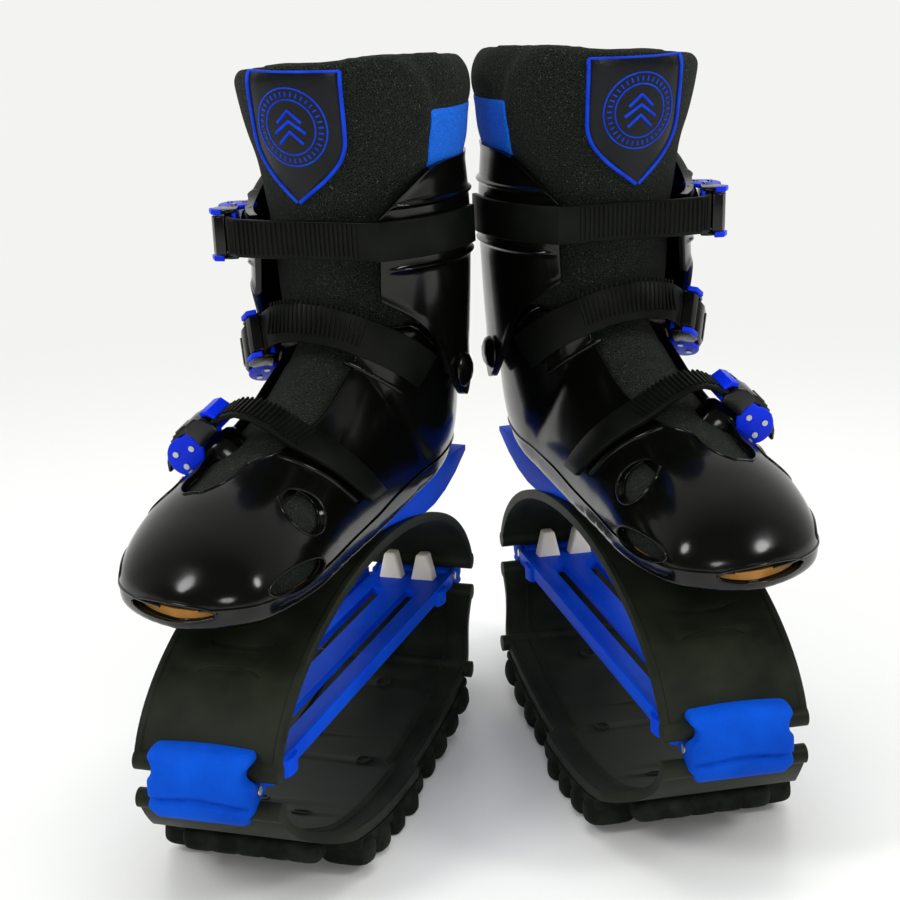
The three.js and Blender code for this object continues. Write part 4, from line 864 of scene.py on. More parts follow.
@dataclass(frozen=True)
class BootForm:
    """Form of the boot above its sole: foot, ankle shaft, cuff and inner boot."""

    length: float = 300.0
    toe_y: float = -160.0
    heel_lift: float = 18.0
    foot_half: float = 52.0
    dorsum: float = 110.0
    welt: float = 11.0
    wall: float = 4.0
    shaft_low: float = 23.6
    shaft_high: float = 111.6
    shaft_half: float = 53.2
    shaft_front: float = 14.0
    shaft_rear: float = 128.0
    heel_bulge: float = 12.0
    centre_x: float = 2.0
    lean: float = 5.5
    lean_start: float = 92.0
    liner_high: float = 253.6
    liner_half: float = 57.5
    liner_front: float = -13.0
    liner_rear: float = 122.0
    gap: float = 0.35
    inner_flare: float = 9.0
    roll: float = 4.0
    roll_low: float = 227.0
    rim_tuck: float = 2.2
    sole_round: float = 0.42
    half_shares: Pairs = (
        (0, 0.12), (0.015, 0.42), (0.05, 0.72), (0.1, 0.88), (0.18, 0.98), (0.27, 1), (0.4, 0.93),
        (0.55, 0.85), (0.7, 0.82), (0.83, 0.8), (0.92, 0.66), (0.975, 0.42), (1, 0.14))
    shift_shares: Pairs = ((0, 0.2), (0.1, 0.08), (0.2, 0.02), (0.35, -0.03), (0.6, -0.02), (1, 0))
    top_shares: Pairs = (
        (0, 0.16), (0.015, 0.22), (0.05, 0.32), (0.1, 0.41), (0.18, 0.5), (0.27, 0.56), (0.37, 0.65),
        (0.47, 0.76), (0.56, 0.92), (0.62, 1), (0.72, 0.86), (0.83, 0.6), (0.92, 0.45), (1, 0.32))
    lift_shares: Pairs = ((0, 0.05), (0.1, 0), (0.5, 0.06), (0.6, 0.22), (0.78, 0.62), (0.88, 0.96), (1, 1))
    lean_shares: Pairs = ((0, 0), (0.22, 0.55), (0.45, 1), (0.72, 0.75), (1, 0.3))
    shaft_width_shares: Pairs = ((0, 0.75), (0.15, 0.81), (0.36, 0.88), (0.64, 0.96), (1, 0.965))
    shaft_bulge_shares: Pairs = ((0, 0.8), (0.12, 1), (0.3, 0.85), (0.5, 0.4), (0.7, 0.12), (1, 0))
    roll_shares: Pairs = ((0, 0), (0.1, 0.5), (0.45, 1), (0.8, 0.85), (1, 0.3))
    rim_rise: float = 6.0
    rim_turn: float = 0.6
    rim_dip: float = 3.0
    edge_shares: Pairs = ((0, -0.3), (0.62, -0.35), (0.73, -0.4), (0.84, -0.4), (0.94, -0.47), (1, -0.62))
    flare_low: float = 188.0
    flare_shares: Pairs = ((0, 0), (0.3, 0.75), (0.6, 1), (1, 0.75))
    rim_from_share: float = 0.7
    tuck_from_share: float = 0.93
    roll_from: float = -0.35
    roll_to: float = 3.1
    roll_fade: float = 0.3
    thinnest_share: float = 0.12
    liner_front_shares: Pairs = ((0, 0), (0.25, 0.2), (0.5, 0.55), (1, 1))
    liner_width_shares: Pairs = (
        (0, 0), (0.2, 0.36), (0.35, 0.46), (0.5, 0.5), (0.66, 0.5), (0.84, 0.82), (1, 1))

    def lean_at(self, z: float) -> float:
        """How far the leg part leans inwards at a height."""
        share = (z - self.lean_start) / (self.liner_high - self.lean_start)
        return self.lean * curve(self.lean_shares, held(share))

    def foot_ring(self, share: float, inset: float, sides: int) -> list[Vector]:
        """One ring across the foot part.

        Args:
            share: Share of the length, from the toe.
            inset: How far its sides move in.
            sides: Points round it.

        Returns:
            The ring.
        """
        bottom = self.heel_lift * curve(self.lift_shares, share)
        level = bottom + self.welt
        top = self.dorsum * curve(self.top_shares, share)
        whole = self.foot_half * curve(self.half_shares, share)
        half = max(whole - inset, whole * self.thinnest_share)
        shift = self.foot_half * curve(self.shift_shares, share)
        y = self.toe_y + inset + (self.length - 2 * inset) * share
        ring = []
        for angle in turns(sides, 0.5):
            c, s = cos(angle), sin(angle)
            if s > 0:
                reach = max(top - inset - level, self.welt / 4)
                ring.append(Vector((shift + half * c, y, level + reach * s)))
            else:
                reach = level - bottom - inset
                ring.append(Vector((shift + half * copysign(abs(c) ** self.sole_round, c), y,
                                    level - reach * abs(s) ** self.sole_round)))
        return ring

    def foot(self, name: str, inset: float, sides: int = 56, stations: int = 72) -> Object:
        """Foot part of the boot with its faces moved in by the inset."""
        shares = [0.5 - 0.5 * cos(pi * i / (stations - 1)) for i in range(stations)]
        return Kit.loft(name, [self.foot_ring(share, inset, sides) for share in shares])

    def oval(self, front: float, rear: float, half: float, z: float, sides: int) -> list[Vector]:
        """Oval ring of the leg part at a height."""
        x = self.centre_x + self.lean_at(z)
        return [Vector((x + half * cos(t), (front + rear) / 2 + (rear - front) / 2 * sin(t), z))
                for t in turns(sides, 0.5)]

    def shaft(self, name: str, inset: float, rise: float = 0.0, sides: int = 64) -> Object:
        """Ankle part of the boot with its sides moved in by the inset.

        Args:
            name: Name of the body.
            inset: How far its sides move in.
            rise: How far it goes on straight up.
            sides: Sides round it.

        Returns:
            The body.
        """
        rings = []
        for i, share in enumerate(spread(0, 1, 24)):
            half = self.shaft_half * curve(self.shaft_width_shares, share) - inset
            rear = self.shaft_rear + self.heel_bulge * curve(self.shaft_bulge_shares, share) - inset
            z = self.shaft_low + (self.shaft_high - self.shaft_low) * share
            rings.append(self.oval(self.shaft_front + inset, rear, half, z + (inset if i == 0 else 0), sides))
        if rise > 0:
            rings.append([p + Vector((0, 0, rise)) for p in rings[-1]])
        return Kit.loft(name, rings)

    def liner_size(self, share: float) -> Triple:
        """Half-width, front and rear of the inner boot at a share of its height above the shell."""
        base = self.wall + self.gap
        low_half = self.shaft_half - base
        low_front, low_rear = self.shaft_front + base, self.shaft_rear - base
        return (low_half + (self.liner_half - low_half) * curve(self.liner_width_shares, share),
                low_front + (self.liner_front - low_front) * curve(self.liner_front_shares, share),
                low_rear + (self.liner_rear - low_rear) * share)

    def flare(self, z: float) -> float:
        """How far the padded leg stands out on its inner side at a height."""
        share = (z - self.flare_low) / (self.liner_high - self.flare_low)
        return self.inner_flare * curve(self.flare_shares, held(share))

    def rim(self, angle: float, share: float) -> float:
        """How far the collar rises in front, and dips behind, at an angle and a share of the leg's height."""
        near = max((share - self.rim_from_share) / (1 - self.rim_from_share), 0) ** 1.5
        rise = self.rim_rise * cos(angle + self.rim_turn)
        return near * (rise - self.rim_dip * max(sin(angle), 0))

    def panel_edge(self, z: float) -> float:
        """Angle at which the front panel ends on the boot's inner side."""
        share = (z - self.shaft_high) / (self.liner_high - self.shaft_high)
        return curve(self.edge_shares, held(share))

    def collar_roll(self, angle: float, z: float) -> float:
        """How far the padded collar stands out behind the front panel."""
        high = curve(self.roll_shares, held((z - self.roll_low) / (self.liner_high - self.roll_low)))
        turn = (angle + 1) % (2 * pi) - 1
        behind = min((turn - self.roll_from) / self.roll_fade, (self.roll_to - turn) / self.roll_fade, 1)
        return self.roll * high * max(behind, 0)

    def tuck(self, share: float) -> float:
        """How far the rim draws in at the very top of the leg, so that it ends rounded."""
        return self.rim_tuck * max((share - self.tuck_from_share) / (1 - self.tuck_from_share), 0) ** 2

    def leg_point(self, angle: float, share: float, out: float, below: float = 0.0) -> Vector:
        """Point of the leg at an angle and a share of its height."""
        half, front, rear = self.liner_size(share)
        z = self.leg_z(share, below)
        c, s = cos(angle), sin(angle)
        return Vector((self.centre_x + self.lean_at(z) + (half + out) * c + self.flare(z) * max(c, 0),
                       (front + rear) / 2 + ((rear - front) / 2 + out) * s, z + self.rim(angle, share)))

    def leg_z(self, share: float, below: float = 0.0) -> float:
        """Height at a share of the leg."""
        return self.shaft_high + (self.liner_high - below - self.shaft_high) * share

    def leg(self, name: str, inset: float, rise: float = 0.0, sides: int = 96,
            rolled: bool = False) -> Object:
        """Inner boot above the shell with its sides moved in by the inset.

        Args:
            name: Name of the body.
            inset: How far its sides move in.
            rise: How far it goes on straight up.
            sides: Sides round it.
            rolled: Whether it has its padded collar.

        Returns:
            The body.
        """
        rings = []
        for share in spread(0, 1, 44):
            ring = []
            for t in turns(sides, 0.5):
                roll = self.collar_roll(t, self.leg_z(share)) - self.tuck(share) if rolled else 0
                ring.append(self.leg_point(t, share, roll - inset))
            rings.append(ring)
        if rise > 0:
            rings.append([p + Vector((0, 0, rise)) for p in rings[-1]])
        return Kit.loft(name, rings)


FORM = BootForm()


@dataclass(frozen=True)
class ArchForm:
    """Form of the two sprung arches, in the shoe's millimetres."""

    half_length: float = 165.0
    half_width: float = 38.0
    wall: float = 4.5
    hinge: float = 73.0
    rise: float = 76.0
    drop: float = 61.0
    skew: float = 16.0
    bead_rise: float = 11.0
    bead_radius: float = 5.0
    rim_width: float = 3.0
    rim_height: float = 0.9
    rear_half: float = 49.0
    front_half: float = 54.0
    tread_rear: float = 104.0
    tread_front: float = -102.0
    rib_inset: float = 13.0
    rib_width: float = 3.2
    rib_slope: float = 0.8
    rib_height: float = 2.4
    # Millimetres along each arch for one radian, where drawings are put on it
    upper_reach: float = 110.0
    lower_reach: float = 150.0

    def upper_at(self, angle: float, out: float) -> Vector:
        """Point of the upper arch's section: y and z."""
        normal = Vector((cos(angle) / self.half_length, sin(angle) / self.rise)).normalized()
        return Vector((self.half_length * cos(angle) + normal.x * out,
                       self.hinge + self.rise * sin(angle) + normal.y * out))

    def lower_at(self, angle: float, out: float) -> Vector:
        """Point of the lower arch's section: y and z."""
        s, c = sin(angle), cos(angle)
        normal = Vector((self.drop * c, -self.half_length * s - 2 * self.skew * s * c)).normalized()
        return Vector((self.half_length * c - self.skew * s * s + normal.x * out,
                       self.hinge - self.drop * s + normal.y * out))

    @property
    def upper_end(self) -> float:
        """Angle at which the upper arch's beads sit."""
        return asin(self.bead_rise / self.rise)

    @property
    def lower_end(self) -> float:
        """Angle at which the lower arch's beads sit."""
        return asin(self.bead_rise / self.drop)

    @property
    def hinge_y(self) -> float:
        """How far the hinge pins lie from the middle."""
        return (self.upper_at(self.upper_end, -self.wall / 2).x
                + self.lower_at(self.lower_end, -self.wall / 2).x) / 2

    def lower_half(self, y: float) -> float:
        """Half-width of the lower arch at a place along it."""
        rear = y > 0
        tread_half = self.rear_half if rear else self.front_half
        tread_end = self.tread_rear if rear else -self.tread_front
        t = held((self.hinge_y - abs(y)) / (self.hinge_y - tread_end))
        return self.half_width + (tread_half - self.half_width) * t * t * (3 - 2 * t)

    def lower_angle(self, y: float) -> float:
        """Angle at which the lower arch's outer face reaches a place along it."""
        low, high = 0.0, pi
        while high - low > 1e-4:
            middle = (low + high) / 2
            low, high = (middle, high) if self.lower_at(middle, 0).x > y else (low, middle)
        return (low + high) / 2


ARCHES = ArchForm()


# Arches, caps, band and tread


@dataclass
class Suspension:
    """The two arches, their caps and pins, the band with its lugs, and the tread of one shoe."""

    side: Side
    steps: int = 96
    lugs: int = 9
    squash_keep: dict[str, float] = field(default_factory=lambda: {"upper": 0.7, "lower": 0.68})
    sole: float = 149.0
    edge: float = 0.7
    edge_angle: float = 38.0
    groove_slope: float = 0.8
    crescent: Triple = (17.0, 5.2, 2.6)
    crescent_depth: float = 0.7
    crescents: Pairs = ((0.735, 1), (0.795, -1))
    lip: float = 1.4
    lip_width: float = 2.2
    slope: float = 1.0
    step_back: float = 5.0
    step_radius: float = 3.0
    boss_radius: float = 5.0
    boss: Pair = (-1.6, 3.4)
    boss_drop: float = 2.0
    # Oval marks in the lower arch: place across, share of half a turn, half width and half length
    marks: tuple = ((14, 0.635, 6.0, 3.6), (-16, 0.60, 5.0, 5.0), (20, 0.47, 4.5, 4.5),
                    (-20, 0.42, 5.0, 3.0), (3, 0.30, 5.0, 5.0))
    mark_wall: float = 1.3
    mark_height: float = 0.9
    # Half of the tread pad's section: how far past the arch's edge, and how far out
    pad_section: tuple = ((0.6, 0.4), (1.0, 2.0), (1.0, 4.6), (-0.6, 6.4))
    side_lug: Triple = (13.8, 8.9, 8.0)
    side_lug_inset: float = 9.5
    side_lug_out: float = 8.2
    bar: Triple = (22.0, 6.5, 6.2)
    half_bar: Triple = (11.0, 7.5, 6.2)
    half_bar_x: float = 15.0
    bar_out: float = 9.0
    front_lug: Triple = (10.4, 9.0, 6.4)
    front_lug_pitch: float = 14.0
    front_lugs: int = 5
    front_lug_ahead: float = 8.2
    front_lug_rise: float = 1.5
    cap_grid: float = 1.1
    cap_face: float = 24.0
    scallop: float = 5.6
    scallop_off: float = 2.0
    scallop_run: Pair = (-34.0, 5.0)
    scallop_levels: Pair = (-2.5, 1.5)
    crease_share: float = 0.33
    crease_bow: float = 1.5
    crease_depth: float = 2.6
    crease_width: float = 1.5
    swell: float = 2.2
    crown: float = 1.6
    crown_drop: float = 0.6

    def section_body(self, name: str, rings: list[list[Vector]], beads: list[Pair],
                     half: float) -> Object:
        """Body through the arch's sections, with a round bead at each end."""
        body = Kit.loft(name, rings)
        rods = [Kit.rod(f"{name}_bead", Vector((-half, y, z)), Vector((half, y, z)), ARCHES.bead_radius)
                for y, z in beads]
        return Kit.combined(body, rods, "UNION")

    def upper_arch(self) -> Object:
        """Upper arch: a strip with thin raised rims and rolled ends, and two shallow crescents pressed in.

        Returns:
            The arch.
        """
        form = ARCHES
        groove = form.half_width - form.rim_width
        flat, half, rim = groove - self.groove_slope, form.half_width, form.rim_height
        section = [(-half, -form.wall), (half, -form.wall), (half, rim), (groove, rim), (flat, 0), (-flat, 0),
                   (-groove, rim), (-half, rim)]
        rings = [[Vector((x, *form.upper_at(angle, out))) for x, out in section]
                 for angle in spread(form.upper_end, pi - form.upper_end, self.steps)]
        bead = form.upper_at(form.upper_end, -form.wall / 2)
        ends = [(end * bead.x, bead.y) for end in (-1, 1)]
        body = self.section_body("upper_arch", rings, ends, half)
        wide, high, hollow = self.crescent
        outline = [(wide * cos(t), high * sin(t)) for t in spread(0, pi, 13)]
        outline += [(wide * cos(t), hollow * sin(t)) for t in spread(pi, 0, 13)[1:-1]]
        dents = [Kit.prism("dent", outline, -self.crescent_depth, 2.0,
                               self.on_upper(share * pi, bow)) for share, bow in self.crescents]
        return Kit.combined(body, dents, "DIFFERENCE")

    def on_upper(self, turn: float, bow: int) -> Placer:
        """Way of putting a drawing onto the upper arch's outer face about an angle."""
        return lambda u, v, w: Vector((u, *ARCHES.upper_at(turn + bow * v / ARCHES.upper_reach, w)))

    def lower_arch(self) -> Object:
        """Lower arch: wider over the tread, with two ribs, oval marks and a step bar with end bosses.

        Returns:
            The arch.
        """
        form = ARCHES
        rings = []
        for angle in spread(form.lower_end, pi - form.lower_end, self.steps):
            half = form.lower_half(form.lower_at(angle, 0).x)
            inner, rib_out = -form.wall, half - form.rib_inset
            rib_top = inner - form.rib_height * sin(angle)
            lip = inner - self.lip * sin(angle)
            lip_in = half - self.lip_width
            rib_in = rib_out - form.rib_width
            right = [(half, 0), (half, lip), (lip_in, lip), (lip_in - self.slope, inner), (rib_out, inner),
                     (rib_out - form.rib_slope, rib_top), (rib_in + form.rib_slope, rib_top), (rib_in, inner)]
            section = [(-half, 0), *right, *((-x, out) for x, out in reversed(right[1:]))]
            rings.append([Vector((x, *form.lower_at(angle, out))) for x, out in section])
        beads = [form.lower_at(angle, -form.wall / 2) for angle in (form.lower_end, pi - form.lower_end)]
        body = self.section_body("lower_arch", rings, [tuple(bead) for bead in beads], form.half_width)
        return Kit.combined(body, self.step_bar() + self.oval_marks(), "UNION")

    def step_bar(self) -> list[Object]:
        """Bar across the lower arch behind the tread, with a boss at each end."""
        form = ARCHES
        step = form.lower_at(form.lower_angle(form.tread_rear + self.step_back), -form.wall)
        half = form.lower_half(step.x)
        made = [Kit.rod("step", Vector((-half, *step)), Vector((half, *step)), self.step_radius)]
        for end in (-1, 1):
            first, last = (Vector((end * half + off, step.x, step.y - self.boss_drop)) for off in self.boss)
            made.append(Kit.rod("boss", first, last, self.boss_radius))
        return made

    def oval_marks(self) -> list[Object]:
        """Raised oval rings on the lower arch's inner face.

        Returns:
            The rings, each rooted in the arch.
        """
        face = -ARCHES.wall
        made = []
        for across, share, wide, deep in self.marks:
            put = self.on_lower(share * pi)
            bodies = []
            for name, thin, low, high in (("mark", 0.0, face - self.mark_height, face + 1),
                                          ("mark_hollow", self.mark_wall, face - 2, face - 0.1)):
                outline = [(across + (wide - thin) * cos(t), (deep - thin) * sin(t))
                           for t in turns(20)]
                bodies.append(Kit.prism(name, outline, low, high, put))
            made.append(Kit.combined(bodies[0], bodies[1:], "DIFFERENCE"))
        return made

    def on_lower(self, turn: float) -> Placer:
        """Way of putting a drawing onto the lower arch's faces about an angle."""
        return lambda u, v, w: Vector((u, *ARCHES.lower_at(turn + v / ARCHES.lower_reach, w)))

    def tread(self) -> Object:
        """Rubber tread: a base pad under the lower arch with rounded lugs and bars on it.

        Returns:
            The tread.
        """
        form = ARCHES
        start, end = form.lower_angle(form.tread_rear), form.lower_angle(form.tread_front)
        rings = []
        for angle in spread(start, end, 72):
            half = form.lower_half(form.lower_at(angle, 0).x)
            right = [(half + past, out) for past, out in self.pad_section]
            section = [(-right[0][0], right[0][1]), *right, *((-x, out) for x, out in reversed(right[1:]))]
            rings.append([Vector((x, *form.lower_at(angle, out))) for x, out in section])
        base = Kit.loft("tread", rings)
        set_finish(base, TREAD)
        made = Kit.merged(base, [self.lug_blocks(self.lug_places(start, end))])
        for vertex in made.data.vertices:
            vertex.co.z = max(vertex.co.z, 0.0)
        return made

    def lug_places(self, start: float, end: float) -> list[tuple[Vector, Vector, float]]:
        """Place, size and tilt of each lug: rows along both edges, bars between them and a front row.

        Args:
            start: Angle at which the tread starts.
            end: Angle at which it ends.

        Returns:
            The lugs' places, half-sizes and tilts.
        """
        form = ARCHES
        lugs = []
        marks = [form.lower_at(angle, 0) for angle in spread(start, end, 400)]
        run = [0.0]
        for a, b in zip(marks, marks[1:]):
            run.append(run[-1] + (b - a).length)
        for i in range(self.lugs):
            at = run[-1] * (i + 0.5) / self.lugs
            k = min(range(len(run)), key=lambda j: abs(run[j] - at))
            angle = start + (end - start) * k / (len(marks) - 1)
            half = form.lower_half(form.lower_at(angle, 0).x)
            along = form.lower_at(angle + 0.01, 0) - form.lower_at(angle - 0.01, 0)
            tilt = atan2(along.y, along.x)
            row = [(side * (half - self.side_lug_inset), self.side_lug_out, self.side_lug)
                   for side in (-1, 1)]
            if i % 2 == 0:
                row.append((0, self.bar_out, self.bar))
            else:
                row += [(side * self.half_bar_x, self.bar_out, self.half_bar) for side in (-1, 1)]
            for x, out, size in row:
                lugs.append((Vector((x, *form.lower_at(angle, out))), Vector(size), tilt))
        front = form.lower_at(end, form.wall)
        for i in range(self.front_lugs):
            x = self.front_lug_pitch * (i - (self.front_lugs - 1) / 2)
            place = Vector((x, front.x - self.front_lug_ahead, front.y + self.front_lug_rise))
            lugs.append((place, Vector(self.front_lug), 0.0))
        return lugs

    def lug_blocks(self, lugs: Sequence[tuple[Vector, Vector, float]]) -> Object:
        """Rounded rubber blocks, each at its place, with its half-sizes and tilt.

        Args:
            lugs: The places, half-sizes and tilts.

        Returns:
            The blocks as one object.
        """
        obj = Kit.add("lugs", [place for place, _, _ in lugs], [])
        obj.data.materials.append(TREAD.material())
        size = obj.data.attributes.new("size", "FLOAT_VECTOR", "POINT")
        size.data.foreach_set("vector", [v for _, sizes, _ in lugs for v in sizes])
        turn = obj.data.attributes.new("turn", "FLOAT_VECTOR", "POINT")
        turn.data.foreach_set("vector", [v for _, _, tilt in lugs for v in (tilt, 0.0, 0.0)])
        tree = GeoTree("lugs", {"Block": ("NodeSocketFloat", 2.0), "Rounding": ("NodeSocketInt", 2),
                                "Material": ("NodeSocketMaterial", TREAD.material())})
        edge = tree.node("ShaderNodeCombineXYZ",
                         {0: tree.socket("Block"), 1: tree.socket("Block"), 2: tree.socket("Block")})
        block = tree.node("GeometryNodeMeshCube", {
            "Size": edge.outputs[0], "Vertices X": 3, "Vertices Y": 3, "Vertices Z": 3})
        soft = tree.node("GeometryNodeSubdivisionSurface",
                         {"Mesh": block.outputs[0], "Level": tree.socket("Rounding")})
        sizes = tree.node("GeometryNodeInputNamedAttribute", {"Name": "size"}, data_type="FLOAT_VECTOR")
        tilts = tree.node("GeometryNodeInputNamedAttribute", {"Name": "turn"}, data_type="FLOAT_VECTOR")
        placed = tree.node("GeometryNodeInstanceOnPoints",
                           {"Points": tree.socket("Geometry"), "Instance": soft.outputs[0],
                            "Rotation": tilts.outputs[0], "Scale": sizes.outputs[0]})
        tree.finish(placed.outputs[0])
        return tree.run(obj)

    def cap(self, name: str) -> Object:
        """Padded cap over a hinge: rounded, with scalloped ends round the beads and a moulded crease.

        Args:
            name: front_cap or rear_cap.

        Returns:
            The cap.
        """
        shoe = Stance(self.side).shoe
        cap = Kit.moved(node_copy(self.side.node(name)), shoe.inverted())
        ends = [v.co for v in cap.data.vertices]
        outward = -1 if sum(p.y for p in ends) < 0 else 1
        face = max(abs(p.y) for p in ends)
        half = max(p.x for p in ends)
        low, high = self.scallop_levels
        cutters = []
        for side in (-1, 1):
            x = side * (half + self.scallop_off)
            for z in (ARCHES.hinge - ARCHES.bead_rise + low, ARCHES.hinge + ARCHES.bead_rise + high):
                first, last = (Vector((x, outward * (face + along), z)) for along in self.scallop_run)
                cutters.append(Kit.rod("scallop", first, last, self.scallop))
        Kit.combined(cap, cutters, "DIFFERENCE")
        Kit.changed(cap, "REMESH", mode="VOXEL", voxel_size=self.cap_grid)
        Kit.changed(cap, "SMOOTH", iterations=10, factor=0.5)
        self.pillow(cap, outward, face, half)
        Kit.moved(cap, shoe)
        Kit.shaded(cap, 60.0)
        return stand_for(cap, self.side.node(name), CAP)

    def pillow(self, cap: Object, outward: int, face: float, half: float) -> None:
        """Presses the crease into a cap's face, and swells the face and the top.

        Args:
            cap: The cap, in the shoe's millimetres.
            outward: Which way along y its face looks.
            face: How far its face lies from the middle.
            half: Half of its width.
        """
        levels = [vertex.co.z for vertex in cap.data.vertices]
        low, high = min(levels), max(levels)
        middle = (low + high) / 2
        for vertex in cap.data.vertices:
            point = vertex.co
            across = point.x / half
            if outward * point.y > face - self.cap_face:
                level = low + (high - low) * self.crease_share + self.crease_bow * cos(2.6 * across)
                dip = self.crease_depth * exp(-((point.z - level) / self.crease_width) ** 2)
                bulge = cos(pi * (point.z - middle) / (high - low))
                point.y += outward * (max(self.swell * (1 - across ** 4) * bulge, 0) - dip)
            if point.z > middle:
                point.z += self.crown * (1 - across ** 2) - self.crown_drop

    def build(self) -> list[Object]:
        """Makes every piece of the suspension.

        Returns:
            The dressed pieces.
        """
        made = []
        shoe = Stance(self.side).shoe
        side = self.side
        upper = Kit.moved(Kit.bevelled(self.upper_arch(), self.edge, self.edge_angle), shoe)
        lower = Kit.moved(Kit.bevelled(self.lower_arch(), self.edge, self.edge_angle), shoe)
        for obj, name in ((upper, "upper_arch"), (lower, "lower_arch")):
            Kit.shaded(obj, 40.0)
            made.append(stand_for(obj, side.node(name), ARCH))
        tread = Kit.moved(self.tread(), shoe)
        Kit.shaded(tread, 50.0)
        made.append(stand_for(tread, side.node("tread"), None))
        side.node("rebound")
        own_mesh(upper)
        side.node("band_drop")
        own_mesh(lower)
        side.node("band_drop")
        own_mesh(tread)
        for name in ("front_cap", "rear_cap"):
            made.append(self.cap(name))
        for name, finish, bevel in (
                ("front_pin", STEEL, 0.5), ("rear_pin", STEEL, 0.5), ("tension_band", BAND, 0.9),
                ("spring_lug_inner", CREAM, 1.6), ("spring_lug_outer", CREAM, 1.6), ("heel_wedge", BAND, 0.9),
                ("sole_bolt_front", STEEL, 0.5), ("sole_bolt_rear", STEEL, 0.5)):
            made.append(edged_copy(side.node(name), finish, bevel, segments=3))
        return made


# Boot


class Shared:
    """Working bodies that both boots use: each is made once, then placed for each side."""

    made: dict[str, Object] = {}

    @classmethod
    def get(cls, name: str, make: Callable[[], Object]) -> Object:
        """Hands out a working body, making it the first time."""
        if name not in cls.made:
            cls.made[name] = make()
        return cls.made[name]

    @classmethod
    def clear(cls) -> None:
        """Removes every working body."""
        for obj in cls.made.values():
            Kit.gone(obj)
        cls.made.clear()


def buckle_place(side: Side, name: str) -> Matrix:
    """Place of a buckle in scene metres from its own millimetres: x along the strap, z out of the boot.

    Args:
        side: The shoe.
        name: toe, instep or cuff.

    Returns:
        The matrix, found from the lever's pin and the frame's base plate.
    """
    joints = frame["record"]["behaviour"]["joints"]
    joint = next(j for j in joints if j["name"] == side.node(f"{name}_lever_open"))
    pin = Vector(joint["pos_m"])
    across = Vector(joint["axis"]).normalized()
    copy = node_copy(side.node(f"{name}_buckle_frame"))
    base = max(copy.data.polygons, key=lambda face: face.area if abs(face.normal.dot(across)) < 0.1 else 0)
    centre = sum((copy.data.vertices[i].co for i in base.vertices), Vector()) / len(base.vertices)
    out = base.normal.copy()
    if (pin - centre).dot(out) < 0:
        out.negate()
    Kit.gone(copy)
    along = across.cross(out).normalized()
    if (pin - centre).dot(along) < 0:
        along.negate()
    across = out.cross(along)
    turn = Matrix((along, across, out)).transposed().to_4x4()
    place = pin - along * Buckle.pin_along * MM - out * Buckle.pin_height * MM
    return Matrix.Translation(place) @ turn @ Matrix.Scale(MM, 4)


@dataclass(frozen=True)
class BucklePad:
    """Domed pad that carries a buckle, rooted in the shell or the cuff below it."""

    place: Matrix
    root: float = -9.0
    half_length: float = 17.5
    half_width: float = 13.5
    back: float = 1.5
    # Share of the full size by height over the boot
    dome_shares: Pairs = ((-9.0, 1.0), (-1.0, 1.0), (1.0, 0.94), (3.2, 0.78), (4.2, 0.5))

    def build(self) -> Object:
        """Makes the pad."""
        rings = []
        for level in (self.root, self.root / 2, *(height for height, _ in self.dome_shares[2:])):
            size = curve(self.dome_shares, level)
            along, across = self.half_length * size, self.half_width * size
            rings.append([self.place @ Vector((along * cos(t) - self.back, across * sin(t), level))
                          for t in turns(40)])
        return Kit.loft("pad", rings)


